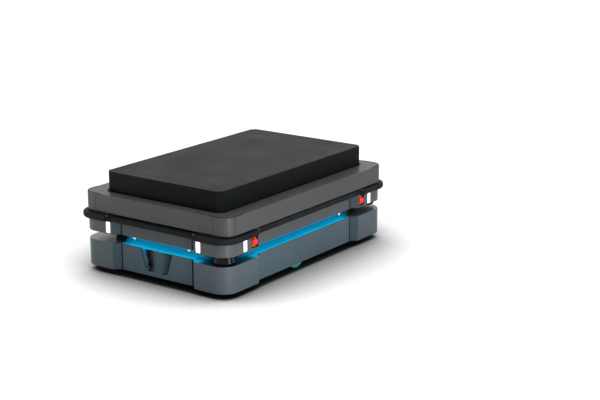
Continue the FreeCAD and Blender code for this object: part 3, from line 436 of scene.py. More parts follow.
def end_fade(tree, place, ranges):
    x, y, z = absolute_place(tree, place)
    fades = []
    for along, (start, stop) in zip((x, x, y, y), ranges):
        fades.append(add_node(tree, "MapRange", {
            "Value": along, "From Min": start, "From Max": stop, "To Min": 1.0, "To Max": 0.0}))
    opened = open_corner(tree, place)
    at_end = region(tree, ("GREATER_THAN", y, end_slot_start))
    for switch, pairs in ((opened, ((0, 1), (2, 3))), (at_end, ((1, 0),))):
        fades = [add_node(tree, "Mix", {"Factor": switch, "A": fades[first], "B": fades[second]},
                          data_type="FLOAT") for first, second in pairs]
    return fades[0]


print("fades of the strip:", strip_fades)

# %% [markdown]
# The light guide is a clear strip lit from below by rows of cyan diodes. It is brightest at its outer
# edge and darker towards the wall. The distance from the wall picks the colour on a ramp, thin dark
# lines mark the grooves, and a soft noise stands for the single diodes.

# %% Lit cyan light guide
wall_x = 392 * MM
wall_y = 604 * MM
guide_reach_x = 24.4 * MM
guide_reach_y = 35.4 * MM
guide_stops = ((0.0, "0078a4"), (0.3, "0098c8"), (0.62, "00aad8"), (0.66, "0090bc"), (0.72, "00b0e0"),
               (1.0, "00c4f4"))


def lit_light_guide():
    material, tree, surface, place = new_material("lit_cyan_light_guide")
    x, y, z = absolute_place(tree, place)
    out_x, out_y = (
        add_node(tree, "MapRange", {"Value": value, "From Min": wall, "From Max": wall + reach})
        for value, wall, reach in ((x, wall_x, guide_reach_x), (y, wall_y, guide_reach_y)))
    share = add_node(tree, "Math", {0: out_x, 1: out_y}, operation="MAXIMUM")
    glow = add_node(tree, "ValToRGB", {"Fac": share})
    set_stops(glow.color_ramp, guide_stops)
    diodes = add_node(tree, "TexNoise", {"Vector": place, "Scale": per_mm(60), "Detail": 1.0})
    pulse = add_node(tree, "MapRange", {
        "Value": diodes, "From Min": 0.3, "From Max": 0.7, "To Min": 0.84, "To Max": 1.0})
    fade = end_fade(tree, place, strip_fades)
    strength = add_node(tree, "Math", {0: pulse, 1: fade}, operation="MULTIPLY")
    fill_inputs(tree, surface, {
        "Emission Color": glow, "Emission Strength": strength, "Base Color": linear("001018"),
        "Roughness": 0.4, "Specular IOR Level": 0.05})
    return material


light_guide = lit_light_guide()
print("guide:", light_guide.name)

# %% [markdown]
# The wall of the slot is black, yet along the strip it glows: the light that the strip throws on the wall
# is painted on as a glow. The glow is strongest at the top edge and weaker at the foot, and it ends where
# the strip ends.

# %% Slot wall with painted strip light
painted_glow_low = 170 * MM
painted_glow_high = 208 * MM
painted_glow_stops = ((0.0, "007ca6"), (0.4, "006e98"), (0.55, "0080ac"), (1.0, "0090b8"))


def slot_wall_film():
    material, tree, surface, place = new_material("frosted_film_on_black_wall")
    z = absolute_place(tree, place)[2]
    rise = add_node(tree, "MapRange", {"Value": z, "From Min": painted_glow_low, "From Max": painted_glow_high})
    bands = add_node(tree, "ValToRGB", {"Fac": rise})
    set_stops(bands.color_ramp, painted_glow_stops)
    grain = add_node(tree, "TexNoise", {"Vector": place, "Scale": per_mm(3)})
    gloss = add_node(tree, "MapRange", {"Value": grain, "To Min": 0.2, "To Max": 0.35})
    fill_inputs(tree, surface, {
        "Emission Color": bands, "Emission Strength": end_fade(tree, place, wall_fades),
        "Roughness": gloss, "Base Color": linear("030405"), "Specular IOR Level": 0.05})
    return material


painted_wall_light = slot_wall_film()
print("wall:", painted_wall_light.name)

# %% [markdown]
# Signal lamps are frosted white lenses, evenly lit from inside.

# %% Lit white lens
def lit_lens():
    material, tree, surface, place = new_material("lit_frosted_lens")
    frost = add_node(tree, "TexNoise", {"Vector": place, "Scale": per_mm(8), "Detail": 2.0})
    even = add_node(tree, "MapRange", {"Value": frost, "To Min": 0.92, "To Max": 1.1})
    fill_inputs(tree, surface, {
        "Emission Strength": even, "Emission Color": linear("ffffff"), "Base Color": linear("d8dcde"),
        "Roughness": 0.4})
    return material


lens = lit_lens()
print("lens:", lens.name)

# %% [markdown]
# Glossy coloured plastic makes the stop buttons, their plates and the clear domes. Injection moulding
# leaves a mirror skin with faint flow lines. The red buttons and the clear domes also get a weak glow of
# their own colour, though no lamp sits in them: painted light. The blue diode is a lit diode.

# %% Glossy coloured plastic
def glossy_plastic(name, colours, roughness, glow=0.0):
    material, tree, surface, place = new_material(name)
    flow = two_tone(tree, surface, place, 18, colours, Detail=3.0, Distortion=0.8)
    skin = add_node(tree, "MapRange", {"Value": flow, "To Min": roughness, "To Max": roughness + 0.12})
    fill_inputs(tree, surface, {
        "Roughness": skin, "Emission Color": linear(colours[0]), "Emission Strength": glow})
    return material


# Painted light: the red stop buttons and the clear domes glow weakly.
stop_red = glossy_plastic("red_gloss_plastic", ("ff1c20", "ee1418"), 0.2, 0.3)
stop_yellow = glossy_plastic("yellow_gloss_plastic", ("c8b400", "b4a000"), 0.3)
clear_dome = glossy_plastic("clear_dome_plastic", ("90bcd2", "68a4c2"), 0.08, 0.1)
diode_blue = glossy_plastic("lit_blue_diode", ("0098dc", "0086c8"), 0.2, 0.9)
print("plastics:", stop_red.name, stop_yellow.name, clear_dome.name)

# %% [markdown]
# Bare metal shows how it was made. Turning and zinc plating both leave faint patches of tone and gloss.

# %% Turned aluminium and zinc plated steel
def worked_metal(name, colours, roughness, cloud_mm):
    material, tree, surface, place = new_material(name)
    cloud = two_tone(tree, surface, place, cloud_mm, colours, Detail=5.0)
    streak = add_node(tree, "MapRange", {"Value": cloud, "To Min": roughness, "To Max": roughness + 0.2})
    fill_inputs(tree, surface, {"Roughness": streak, "Metallic": 1.0})
    return material


case_metal = worked_metal("brushed_aluminium_case", ("8d9194", "7a7e81"), 0.35, 60)
zinc = worked_metal("zinc_plated_steel", ("a9adb0", "8f9498"), 0.3, 25)
hub_metal = worked_metal("turned_aluminium", ("b4b7b9", "9da1a4"), 0.25, 15)
print("metals:", case_metal.name, zinc.name, hub_metal.name)

# %% [markdown]
# Wheel treads are cast polyurethane: half matt and scuffed on the running face.

# %% Cast polyurethane treads
def cast_tread(name, colours):
    material, tree, surface, place = new_material(name)
    scuff = two_tone(tree, surface, place, 12, colours, Detail=6.0, Roughness=0.7)
    bump = add_node(tree, "Bump", {"Height": scuff, "Strength": 0.3, "Distance": 0.3 * MM})
    fill_inputs(tree, surface, {"Normal": bump, "Roughness": 0.5})
    return material


drive_tread = cast_tread("teal_polyurethane_tread", ("0f8a80", "1a9a90"))
caster_tread = cast_tread("dark_polyurethane_tread", ("2a2c2e", "3a3c3e"))
print("treads:", drive_tread.name, caster_tread.name)

# %% [markdown]
# Now the finishes go onto the parts. Every part of one kind shares one material, and the start of a
# part's name tells its kind.

# %% Finishes for all parts
wearers = (
    (lower_corner_coat, ("lower_corner",)),
    (lower_panel_coat, ("lower_panel",)),
    (upper_corner_coat, ("upper_corner",)),
    (upper_panel_coat, ("upper_panels",)),
    (cover_coat, ("cover_",)),
    (rubber, ("bumper_band",)),
    (frame_coat, ("chassis_frame", "frame_members", "belly_plate", "deck_plate", "lift_columns",
                  "drive_arm")),
    (platform_coat, ("lift_platform",)),
    (black_plastic, ("scanner_housings", "control_panel", "electronics_box")),
    (scanner_glass, ("scanner_windows",)),
    (light_guide, ("light_strips",)),
    (painted_wall_light, ("slot_wall",)),
    (lens, ("signal_lights",)),
    (stop_red, ("estop_button",)),
    (stop_yellow, ("estop_plates",)),
    (clear_dome, ("release_button",)),
    (camera_glass, ("camera_modules",)),
    (case_metal, ("battery_pack",)),
    (zinc, ("caster_fork", "mode_key")),
    (hub_metal, ("drive_hub", "scanner_mirror")),
    (drive_tread, ("drive_tyre",)),
    (caster_tread, ("caster_wheel",)),
)


def wear(piece, material):
    piece.data.materials.clear()
    piece.data.materials.append(material)


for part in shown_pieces():
    for material, starts in wearers:
        if part.name.startswith(starts):
            wear(part, material)

# %% [markdown]
# Small pieces come next. Each is shaped once near the origin and then copied to its places. A mirrored
# copy has its faces turned round, so that they point outwards again. The robot has four sides, so one
# function turns a piece that was made for the front onto any side: side 0 is the front, then right, rear
# and left. Another puts two copies on every side, at the same distance from its middle.

# %% Helpers for small pieces
side_names = ("front", "right", "rear", "left")
corner_signs = ((1, -1), (-1, -1), (-1, 1), (1, 1))
soft_seal = ("band_rubber", seal_rubber)
slot_black = ("slot_plastic", black_plastic)


def start_editing():
    bpy.ops.object.mode_set(mode="EDIT")
    bpy.ops.mesh.select_all(action="SELECT")


def finish_editing():
    bpy.ops.mesh.select_all(action="SELECT")
    bpy.ops.mesh.normals_make_consistent(inside=False)
    bpy.ops.object.mode_set(mode="OBJECT")
    return bpy.context.object


def deselect_all():
    bpy.ops.object.select_all(action="DESELECT")


def select_top_face():
    bpy.ops.mesh.select_mode(type="FACE")
    bpy.ops.mesh.select_all(action="DESELECT")
    bpy.ops.object.mode_set(mode="OBJECT")
    faces = bpy.context.object.data.polygons
    top = max(face.center.z for face in faces)
    for face in faces:
        face.select = face.center.z > top - 0.01 * MM and face.normal.z > 0.99
    bpy.ops.object.mode_set(mode="EDIT")


def on_side(side, along, out, height):
    turn = Matrix.Rotation(math.radians(90) * side, 4, "Z")
    return turn @ Matrix.Translation((along, -out, height)) @ Matrix.Rotation(math.radians(90), 4, "X")


def settle(piece, name, place, body, slot, material):
    copy = bpy.data.objects.new(name, piece.data.copy())
    bpy.context.collection.objects.link(copy)
    copy.data.transform(place)
    if place.determinant() < 0:
        copy.data.flip_normals()
    wear(copy, material)
    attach(copy, body)


def drop(pattern):
    bpy.data.objects.remove(pattern)


def settle_round(pattern, kind, at_ends, at_sides, height, finish=soft_seal, bodies=None):
    for side, side_name in enumerate(side_names):
        along, out = at_sides if side % 2 else at_ends
        body = bodies[side_name] if bodies else "chassis"
        for end, letter in ((-1, "a"), (1, "b")):
            settle(pattern, f"{kind.format(side_name)}_{letter}", on_side(side, end * along, out, height),
                   body, *finish)
    drop(pattern)


print("front side place:", on_side(0, 0.1, 0.6, 0.2).translation)

# %% [markdown]
# A soft seal closes the joint between each panel and the corner cover beside it. It is a bar with a
# rounded face. A cube stretched in edit mode gives the bar, and a bevel of its long front edges rounds
# it. The seals of the lower panels sit on the panels, so they move with them.

# %% Panel seals
half_width = 452 * MM
half_length = 675 * MM
panel_setback = 30 * MM
seal_width = 5 * MM
seal_depth = 1.4 * MM
seal_edge_x = 226 * MM
seal_edge_y = 398 * MM
lower_seal = (32 * MM, 163 * MM)
upper_seal = (209 * MM, 274 * MM)


def select_long_front_edges():
    bpy.ops.mesh.select_all(action="DESELECT")
    bpy.ops.object.mode_set(mode="OBJECT")
    mesh = bpy.context.object.data
    for edge in mesh.edges:
        a, b = (mesh.vertices[i].co for i in edge.vertices)
        edge.select = a.z > 0 and b.z > 0 and abs(a.x - b.x) < 1e-6
    bpy.ops.object.mode_set(mode="EDIT")
    bpy.ops.mesh.select_mode(type="EDGE")


def seal_bar(length, width, depth):
    deselect_all()
    bpy.ops.mesh.primitive_cube_add(size=1)
    start_editing()
    bpy.ops.transform.resize(value=(width, length, depth))
    select_long_front_edges()
    bpy.ops.mesh.bevel(offset=width * 0.12, segments=3)
    return finish_editing()


children = {joint["name"]: joint["child"] for joint in frame["joints"]}
panel_bodies = {side_name: children[f"pull_panel_{side_name}"] for side_name in side_names}
seal_out = seal_depth / 2 - panel_setback
for (low, high), level, bodies in ((lower_seal, "low", panel_bodies), (upper_seal, "high", None)):
    settle_round(seal_bar(high - low, seal_width, seal_depth), f"seal_{{}}_{level}",
                 (seal_edge_x - seal_width / 2, half_length + seal_out),
                 (seal_edge_y - seal_width / 2, half_width + seal_out), (low + high) / 2, bodies=bodies)
print("panel bodies:", panel_bodies)

# %% [markdown]
# A thin gasket frames every signal lamp. A plane is cut to the size of the lamp, its corners are
# rounded with a bevel of the vertices, and an inset leaves the frame. Extruding gives it depth.

# %% Lamp gaskets
def rounded_frame(width, height, corner, border, depth, steps=5):
    deselect_all()
    bpy.ops.mesh.primitive_plane_add(size=1)
    start_editing()
    bpy.ops.transform.resize(value=(width, height, 1))
    bpy.ops.mesh.bevel(offset=corner, segments=steps, affect="VERTICES")
    bpy.ops.mesh.select_all(action="SELECT")
    bpy.ops.mesh.inset(thickness=border)
    bpy.ops.mesh.delete(type="FACE")
    bpy.ops.mesh.select_all(action="SELECT")
    bpy.ops.mesh.extrude_region_move(TRANSFORM_OT_translate={"value": (0, 0, depth)})
    return finish_editing()


lamp_width = 29 * MM
lamp_height = 58 * MM
lamp_middle = 242 * MM
gasket_lap = 2.2 * MM
gasket_sunk = 0.9 * MM
gasket = rounded_frame(lamp_width + gasket_lap, lamp_height + gasket_lap, 6 * MM, 1.6 * MM, 1.2 * MM)
settle_round(gasket, "lamp_gasket_{}", (light_x, half_length - gasket_sunk),
             (light_y, half_width - gasket_sunk), lamp_middle)

# %% [markdown]
# Behind each camera window sit three lenses: two eyes and a smaller projector between them. Each is a
# short barrel with a ring and a sunken glass. A cylinder gets its ring by an inset and its hollow by
# pushing the inner face down.

# %% Camera lenses
pocket_depth = 30 * MM
pocket_outer = 97 * MM
pocket_foot = 69 * MM
pocket_valley = 58 * MM
pocket_heel_top = 72 * MM
shelf_top = 164 * MM
camera_low = 75 * MM
camera_high = 152 * MM
camera_margin = 14 * MM
window_middle_share = 0.63
lens_radius = 4.6 * MM
lens_height = 1.2 * MM
mirror_x = Matrix.Scale(-1, 4, (1, 0, 0))


def lens_barrel(radius):
    deselect_all()
    bpy.ops.mesh.primitive_cylinder_add(vertices=32, radius=radius, depth=lens_height)
    start_editing()
    select_top_face()
    bpy.ops.mesh.inset(thickness=radius * 0.22)
    bpy.ops.transform.translate(value=(0, 0, -lens_height * 0.6))
    bpy.ops.mesh.inset(thickness=radius * 0.3)
    bpy.ops.transform.translate(value=(0, 0, lens_height * 0.25))
    return finish_editing()


def window_point(height, share):
    edge = pocket_foot + (pocket_outer - pocket_foot) * (height - pocket_heel_top) / (
        shelf_top - pocket_heel_top)
    return Vector((edge + (pocket_valley - edge) * share,
                   -(half_length - panel_setback - pocket_depth * share), height))


def window_frame_matrix(height):
    middle = window_point(height, window_middle_share)
    across = (window_point(height, window_middle_share + 0.1) - middle).normalized()
    up = (window_point(height + 5 * MM, window_middle_share) - middle).normalized()
    out = across.cross(up).normalized()
    if out.y > 0:
        out = -out
    up = out.cross(across)
    turn = Matrix((across, up, out)).transposed().to_4x4()
    return Matrix.Translation(middle + out * lens_height) @ turn


for lens_name, height, scale in (("upper", camera_high - camera_margin, 1.0),
                                 ("middle", (camera_high + camera_low) / 2, 0.7),
                                 ("lower", camera_low + camera_margin, 1.0)):
    barrel = lens_barrel(lens_radius * scale)
    place = window_frame_matrix(height)
    settle(barrel, f"camera_lens_right_{lens_name}", place, "chassis", "slot_plastic", lens_glass)
    settle(barrel, f"camera_lens_left_{lens_name}", mirror_x @ place, "chassis", "slot_plastic",
           lens_glass)
    drop(barrel)
print("lens place:", window_frame_matrix(camera_high).translation)

# %% [markdown]
# Black guards cover the four cut corners of the lift platform. A guard is a thin strip, bent round the
# two edges of the cut. A plane merged to one point is extruded along the outline and then upwards, and
# a solidify modifier gives it thickness. Points can only be extruded in vertex mode, and the mode stays
# from the piece before, so it is set first.

# %% Corner guards of the platform
platform_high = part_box("lift_platform")[1]
corner_cut = 25 * MM
guard_wrap = 3 * MM
guard_thickness = 0.8 * MM
guard_low = 402 * MM
guard_high = 498.5 * MM


def bent_strip(start, steps, width, thickness, offset):
    deselect_all()
    bpy.ops.mesh.primitive_plane_add(size=1)
    start_editing()
    bpy.ops.mesh.select_mode(type="VERT")
    bpy.ops.mesh.merge(type="CENTER")
    bpy.ops.transform.translate(value=start)
    for step in steps:
        bpy.ops.mesh.extrude_region_move(TRANSFORM_OT_translate={"value": step})
    bpy.ops.mesh.select_all(action="SELECT")
    bpy.ops.mesh.extrude_region_move(TRANSFORM_OT_translate={"value": width})
    strip = finish_editing()
    shell = strip.modifiers.new("thickness", "SOLIDIFY")
    shell.thickness = thickness
    shell.offset = offset
    bpy.ops.object.modifier_apply(modifier=shell.name)
    return strip


guard = bent_strip((platform_high.x, corner_cut + guard_wrap - platform_high.y, guard_low),
                   ((0, -guard_wrap, 0), (-corner_cut, -corner_cut, 0), (-guard_wrap, 0, 0)),
                   (0, 0, guard_high - guard_low), guard_thickness, 1)
for i, (sx, sy) in enumerate(corner_signs):
    settle(guard, f"platform_guard_{i}", Matrix.Diagonal((sx, -sy, 1, 1)), "lift_platform", *soft_seal)
drop(guard)
print("platform half size:", round(platform_high.x, 3), round(platform_high.y, 3))

# %% [markdown]
# A black plastic ring lies round the release buttons of both ends and of the right side, and one lies
# opposite on the left wall. It is a torus pressed flat.

# %% Release button rings
button_x = 172 * MM
button_side_y = 335 * MM
button_z = 187 * MM
bezel_height = 2.5 * MM


def pressed_torus(major, minor, flatness, steps_round, steps_across):
    deselect_all()
    bpy.ops.mesh.primitive_torus_add(major_radius=major, minor_radius=minor, major_segments=steps_round,
                                     minor_segments=steps_across)
    start_editing()
    bpy.ops.transform.resize(value=(1, 1, flatness))
    return finish_editing()


ring = pressed_torus(11.4 * MM, 1.3 * MM, 0.6, 40, 10)
ring_places = ((0, -button_x), (0, button_x), (2, -button_x), (2, button_x), (1, button_side_y),
               (3, -button_side_y))
for i, (side, along) in enumerate(ring_places):
    out = (wall_x if side % 2 else wall_y) + bezel_height
    settle(ring, f"button_ring_{i}", on_side(side, along, out, button_z), "chassis", *slot_black)
drop(ring)
print("rings:", len(ring_places))

# %% [markdown]
# The lift housing is made of walls and corner pieces with open joints between them. A thin dark bar
# lies sunk in each of the eight upright joints. On top, a soft seal lies in the curved groove round
# every corner: a small flat frame is swept straight, round the corner with spin, and straight again.

# %% Joint bars and groove seals of the lift housing
housing_low = 312 * MM
housing_high = 400 * MM
housing_half_x = 458 * MM
housing_half_y = 666 * MM
joint_x = 368 * MM
joint_y = 613 * MM
joint_end_gap = 3 * MM
bar_width = 1.5 * MM
bar_sunk = 1.4 * MM
groove_radius = 61.5 * MM
groove_corner = (392 * MM, 600 * MM)
groove_straight = (55 * MM, 41 * MM)
groove_section = (4.6 * MM, 2.4 * MM, 1)

settle_round(seal_bar(housing_high - housing_low - 2 * joint_end_gap, bar_width, bar_width),
             "housing_joint_{}", (joint_x, housing_half_y - bar_sunk),
             (joint_y, housing_half_x - bar_sunk), (housing_low + housing_high) / 2)


def groove_seal():
    cx, cy = groove_corner
    deselect_all()
    bpy.ops.mesh.primitive_plane_add(size=1)
    start_editing()
    bpy.ops.transform.resize(value=groove_section)
    bpy.ops.transform.rotate(value=math.radians(90), orient_axis="X", center_override=(0, 0, 0))
    bpy.ops.transform.translate(value=(cx + groove_radius, cy - groove_straight[1], housing_high))
    bpy.ops.mesh.delete(type="ONLY_FACE")
    bpy.ops.mesh.select_all(action="SELECT")
    bpy.ops.mesh.extrude_edges_move(TRANSFORM_OT_translate={"value": (0, groove_straight[1], 0)})
    bpy.ops.mesh.spin(steps=12, angle=math.radians(-90), center=(cx, cy, 0), axis=(0, 0, 1))
    bpy.ops.mesh.extrude_edges_move(TRANSFORM_OT_translate={"value": (-groove_straight[0], 0, 0)})
    bpy.ops.mesh.select_all(action="SELECT")
    bpy.ops.mesh.fill_holes(sides=4)
    bpy.ops.mesh.select_all(action="SELECT")
    bpy.ops.mesh.remove_doubles(threshold=0.00001)
    return finish_editing()


seal = groove_seal()
for i, (sx, sy) in enumerate(corner_signs):
    settle(seal, f"groove_seal_{i}", Matrix.Diagonal((sx, sy, 1, 1)), "chassis", *soft_seal)
drop(seal)

# %% [markdown]
# A brush seal closes most of the gap between the housing and the lift platform, and stays clear of the
# moving skirt. It is the same kind of frame as a lamp gasket, with cut instead of rounded corners.

# %% Brush seal round the platform
opening_gap = 10 * MM
brush_width = 7 * MM
brush_clearance = 0.4 * MM
brush_height = 2.5 * MM
brush_sunk = 3.4 * MM
opening_cut = corner_cut + (2 - math.sqrt(2)) * opening_gap
opening_x = platform_high.x + opening_gap - brush_clearance
opening_y = platform_high.y + opening_gap - brush_clearance
brush = rounded_frame(2 * opening_x, 2 * opening_y, opening_cut, brush_width, brush_height, steps=1)
settle(brush, "platform_brush", Matrix.Translation((0, 0, housing_high - brush_sunk)), "chassis",
       *soft_seal)
drop(brush)
print("brush:", round(opening_x, 4), round(opening_y, 4))

# %% [markdown]
# A black frame lines the mouth of every stop button well, again as a rounded frame.

# %% Frames of the stop wells
frame_sunk = 0.6 * MM
well_frame = rounded_frame(49 * MM, 55 * MM, 4 * MM, 2 * MM, 1.1 * MM)
for side in (1, 3):
    for end, letter in ((-1, "a"), (1, "b")):
        settle(well_frame, f"stop_frame_{side}_{letter}",
               on_side(side, end * stop_y, half_width - frame_sunk, stop_z), "chassis", *slot_black)
drop(well_frame)
print("stop frames: 4")

# %% [markdown]
# A thin dark bead follows the edge of each camera pocket. It stands for the dark lines along the rim,
# partly the joint of the pocket and partly painted shade of the recess. A point is pushed along the edge
# of the pocket, the line is drawn out to a strip, and a solidify modifier makes a bead of it. A small lit
# diode
# sits below each camera window: a ball pressed flat.

# %% Pocket beads and diodes
pocket_floor = 56 * MM
pocket_heel = 16 * MM
heel_stretch = 1.3
bead_end = 30 * MM
bead_width = 2.6 * MM
bead_rise = 1.6 * MM
bead_face = half_length - panel_setback
diode_shift = Matrix.Translation((4.1 * MM, -14.5 * MM, -9.7 * MM))


def pocket_bead():
    points = [(pocket_outer - 0.6 * MM, shelf_top - 3 * MM)]
    for i in range(7):
        angle = math.radians(15 * i)
        points.append((pocket_foot - pocket_heel * (1 - math.cos(angle)) * heel_stretch,
                       pocket_heel_top - pocket_heel * math.sin(angle)))
    points.append((bead_end, pocket_floor))
    steps = [(x1 - x0, 0, z1 - z0) for (x0, z0), (x1, z1) in zip(points, points[1:])]
    return bent_strip((points[0][0], -bead_face, points[0][1]), steps, (0, -bead_rise, 0), bead_width, 0)


def flat_ball(radius, flatness):
    deselect_all()
    bpy.ops.mesh.primitive_uv_sphere_add(segments=24, ring_count=12, radius=radius)
    start_editing()
    bpy.ops.transform.resize(value=(1, 1, flatness))
    return finish_editing()


# Partly painted shade: the dark bead along the pocket rim.
bead = pocket_bead()
diode = flat_ball(3.0 * MM, 0.5)
diode_place = diode_shift @ window_frame_matrix(pocket_heel_top)
for name, mirror in (("right", Matrix.Identity(4)), ("left", mirror_x)):
    for pattern, kind, place, material in ((bead, "pocket_bead", Matrix.Identity(4), seal_rubber),
                                           (diode, "pocket_diode", diode_place, diode_blue)):
        settle(pattern, f"{kind}_{name}", mirror @ place, panel_bodies["front"], "slot_plastic", material)
drop(bead)
drop(diode)
print("pocket trims: 4")

# %% [markdown]
# Small grey clips hold the band where it steps back beside each corner cover. Each is a low pad with
# rounded edges. Two small glowing beads sit in every release button: painted highlights in the lit lens
# material.

# %% Band clips and painted button highlights
clip_size = (9 * MM, 1.8 * MM, 7 * MM)
clip_height = 305.7 * MM
clip_x = 272 * MM
clip_y = 447 * MM
clip_out_x = 463 * MM
clip_out_y = 691 * MM
dome_front = 609.4 * MM
dome_side = 397.4 * MM
highlight_spacing = 4.2 * MM
highlight_height = 190 * MM


def clip_pad():
    deselect_all()
    bpy.ops.mesh.primitive_cube_add(size=1)
    start_editing()
    bpy.ops.transform.resize(value=clip_size)
    bpy.ops.mesh.bevel(offset=0.8 * MM, segments=3)
    return finish_editing()


settle_round(clip_pad(), "band_clip_{}", (clip_x, clip_out_y), (clip_y, clip_out_x), clip_height,
             ("fork_zinc", zinc))
# Painted highlights: two glowing beads in each release button.
highlight_pearl = flat_ball(3.0 * MM, 0.6)
highlight_places = {"front_left": (0, -button_x), "front_right": (0, button_x), "rear_left": (2, button_x),
               "rear_right": (2, -button_x), "side_left": (3, button_side_y),
               "side_right": (1, button_side_y)}
for key, (side, along) in highlight_places.items():
    for end, letter in ((-1, "a"), (1, "b")):
        settle(highlight_pearl, f"button_bead_{key}_{letter}",
               on_side(side, along + end * highlight_spacing, dome_side if side % 2 else dome_front,
                       highlight_height), children[f"press_release_{key}"], "button_clear", lens)
drop(highlight_pearl)
print("clips: 8, beads:", 2 * len(highlight_places))

# %% [markdown]
# The rim of every scanner cap carries a raised ring. It is a torus pressed flat.

# %% Scanner rings
scanner_places = ((384 * MM, -606 * MM), (-384 * MM, 606 * MM))
scanner_rim = 173.4 * MM
ring = pressed_torus(52.2 * MM, 1.6 * MM, 0.7, 72, 12)
for i, (x, y) in enumerate(scanner_places):
    settle(ring, f"scanner_ring_{i}", Matrix.Translation((x, y, scanner_rim)), "chassis", *slot_black)
drop(ring)
print("scanner rings:", len(scanner_places))

# %% [markdown]
# Hexagon nuts end the axles of the casters, and a cap closes each drive hub. A nut is a six-sided
# cylinder: an inset and a push inwards leave the bore, and a bevel takes the sharp edges.

# %% Nuts and hub caps
caster_x = 290 * MM
caster_y = 500 * MM
caster_trail = 45 * MM
axle_height = 62.5 * MM
fork_reach = 28 * MM
nut_height = 5 * MM
hub_height = 70 * MM
hub_y = -48 * MM
cap_out = 398 * MM


def lathe_nut(sides, radius, height, bore, dip):
    deselect_all()
    bpy.ops.mesh.primitive_cylinder_add(vertices=sides, radius=radius, depth=height)
    start_editing()
    bpy.ops.mesh.bevel(offset=height * 0.12, segments=2)
    select_top_face()
    bpy.ops.mesh.inset(thickness=radius * (1 - bore))
    bpy.ops.transform.translate(value=(0, 0, -dip))
    return finish_editing()


def on_axle(side, place):
    return Matrix.Translation(place) @ Matrix.Rotation(math.radians(90) * side, 4, "Y")


nut = lathe_nut(6, 9 * MM, nut_height, 0.5, 1.2 * MM)
for sx, sy, name in ((-1, -1, "front_left"), (1, -1, "front_right"), (-1, 1, "rear_left"),
                     (1, 1, "rear_right")):
    for side, letter in ((-1, "a"), (1, "b")):
        place = (sx * caster_x + side * (fork_reach + nut_height / 2), sy * caster_y + caster_trail,
                 axle_height)
        settle(nut, f"caster_nut_{name}_{letter}", on_axle(side, place), f"caster_fork_{name}",
               "fork_zinc", zinc)
drop(nut)
cap = lathe_nut(40, 13 * MM, 3 * MM, 0.7, 1.0 * MM)
for side, name in ((-1, "left"), (1, "right")):
    settle(cap, f"hub_cap_{name}", on_axle(side, (side * cap_out, hub_y, hub_height)),
           f"drive_wheel_{name}", "hub_metal", black_plastic)
drop(cap)
print("nuts: 8, caps: 2")

# %% [markdown]
# Curved faces look smooth where the angle between neighbouring faces is small. Sharp edges stay sharp.

# %% Smooth curved faces
smooth_angle = math.radians(32)
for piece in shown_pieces():
    deselect_all()
    piece.select_set(True)
    bpy.context.view_layer.objects.active = piece
    if "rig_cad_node" not in piece:
        bpy.ops.object.shade_smooth_by_angle(angle=smooth_angle)

# %% [markdown]
# The camera stands to the front right, a little above the robot, as in the picture. Its yaw, pitch and
# focal length were worked out from the straight edges of the body.

# %% Camera
camera_place = Vector((4.2914, -5.4897, 2.1629))
camera_yaw = 35.43
camera_pitch = 15.17
focal_pixels = 1404.2
picture_width_pixels = 600

camera_data = bpy.data.cameras.new("picture_camera")
camera = bpy.data.objects.new("picture_camera", camera_data)
bpy.context.collection.objects.link(camera)
camera.location = camera_place
camera.rotation_euler = (math.radians(90 - camera_pitch), 0, math.radians(camera_yaw))
camera_data.sensor_width = 36.0
camera_data.lens = focal_pixels / picture_width_pixels * camera_data.sensor_width
bpy.context.scene.camera = camera
print("lens", round(camera_data.lens, 2), "mm")

# %% [markdown]
# A product picture on white has a pale floor, a white surrounding and soft light from above. The sky
# grows brighter towards the zenith and leans to the left, so the floor under the robot and on its right
# stays dark. A low wide sun stands for a row of soft lamps on the right. A tall narrow lamp draws the
# long highlight on the near rounded corner, and a weaker one does so on the left corner. The camera,
# clear plastic and mirrored light see plain white behind the floor. A painted shadow darkens the floor's
# colour: an occlusion node darkens it where the body stands close, and below the body itself it is
# painted nearly black. It gives back less light to other surfaces than it shows, so the low panels keep
# their painted blue reflection.

# %% Floor, surrounding and lamps
footprint_round = 0.105
footprint_core = (0.446 - footprint_round, 0.672 - footprint_round, 1.0)


def stage_floor():
    deselect_all()
    bpy.ops.mesh.primitive_plane_add(size=60, location=(0, 0, 0))
    floor = bpy.context.object
    floor.name = "studio_floor"
    material, tree, surface, place = new_material("studio_floor_white")
    # Painted shadow: occlusion darkens the floor colour near the body.
    contact = add_node(tree, "AmbientOcclusion", {"Distance": 1.6}, samples=8)
    deepened = add_node(tree, "MapRange", {
        "Value": contact.outputs["AO"], "From Min": 0.12, "From Max": 0.86})
    curved = add_node(tree, "Math", {0: deepened, 1: 1.5}, operation="POWER")
    size = add_node(tree, "VectorMath", {0: place}, operation="ABSOLUTE")
    inner = add_node(tree, "VectorMath", {0: size, 1: footprint_core}, operation="SUBTRACT")
    reach = add_node(tree, "VectorMath", {0: inner}, operation="MAXIMUM")
    away = add_node(tree, "VectorMath", {0: reach}, operation="LENGTH")
    # Painted shadow: below the body the floor colour drops nearly to black.
    open_floor = add_node(tree, "MapRange", {
        "Value": away, "From Min": footprint_round - 0.02, "From Max": footprint_round, "To Min": 0.05})
    tone = add_node(tree, "Math", {0: curved, 1: open_floor}, operation="MULTIPLY")
    rays = tree.nodes.new("ShaderNodeLightPath")
    bounce = add_node(tree, "MapRange", {"Value": rays.outputs["Is Camera Ray"], "To Min": 0.6})
    albedo = add_node(tree, "Math", {0: tone, 1: bounce}, operation="MULTIPLY")
    fill_inputs(tree, surface, {"Base Color": albedo, "Roughness": 0.9, "Specular IOR Level": 0.1})
    floor.data.materials.append(material)


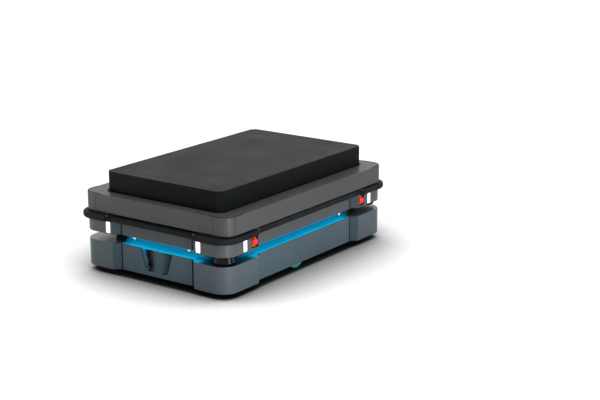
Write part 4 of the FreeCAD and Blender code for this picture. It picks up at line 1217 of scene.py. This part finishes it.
def aim_lamp(name, kind, place, aim, energy):
    data = bpy.data.lights.new(name, kind)
    data.energy = energy
    lamp = bpy.data.objects.new(name, data)
    bpy.context.collection.objects.link(lamp)
    lamp.location = place
    lamp.rotation_euler = (Vector(aim) - Vector(place)).to_track_quat("-Z", "Y").to_euler()
    return data


def studio_sky(horizon, zenith, left, right):
    world = bpy.data.worlds.new("studio")
    bpy.context.scene.world = world
    world.use_nodes = True
    tree = world.node_tree
    tree.nodes.clear()
    output = tree.nodes.new("ShaderNodeOutputWorld")
    direction = tree.nodes.new("ShaderNodeTexCoord").outputs["Generated"]
    split = add_node(tree, "SeparateXYZ", {"Vector": direction})
    dome = add_node(tree, "MapRange", {
        "Value": split.outputs["Z"], "From Min": 0.0, "From Max": 0.9, "To Min": horizon,
        "To Max": zenith})
    side = add_node(tree, "MapRange", {
        "Value": split.outputs["X"], "From Min": -1.0, "To Min": left, "To Max": right})
    lean = add_node(tree, "Math", {0: dome, 1: side}, operation="MULTIPLY")
    rays = tree.nodes.new("ShaderNodeLightPath").outputs
    seen = rays["Is Camera Ray"]
    for kind in ("Is Transmission Ray", "Is Glossy Ray"):
        seen = add_node(tree, "Math", {0: seen, 1: rays[kind]}, operation="MAXIMUM")
    strength = add_node(tree, "Mix", {"Factor": seen, "A": lean, "B": 1.0}, data_type="FLOAT")
    sky = add_node(tree, "Background", {"Color": linear("ffffff"), "Strength": strength})
    tree.links.new(sky.outputs["Background"], output.inputs["Surface"])


stage_floor()
studio_sky(0.0, 1.5, 1.4, 0.7)
aim_lamp("right_sun", "SUN", (5.0, 0.5, 0.6), (0, 0, 0), 1.7).angle = math.radians(30)
for name, place, aim, watts, width in (
        ("corner_lamp", (1.75, -1.25, 0.24), (0.42, -0.64, 0.2), 9.0, 0.25),
        ("left_lamp", (-1.7, -1.7, 0.2), (-0.44, -0.66, 0.2), 3.5, 0.6)):
    lamp = aim_lamp(name, "AREA", place, aim, watts)
    lamp.shape = "RECTANGLE"
    lamp.size = width
    lamp.size_y = 0.38

# %% [markdown]
# The picture is shown with plain colours.

# %% View settings
bpy.context.scene.view_settings.view_transform = "Standard"
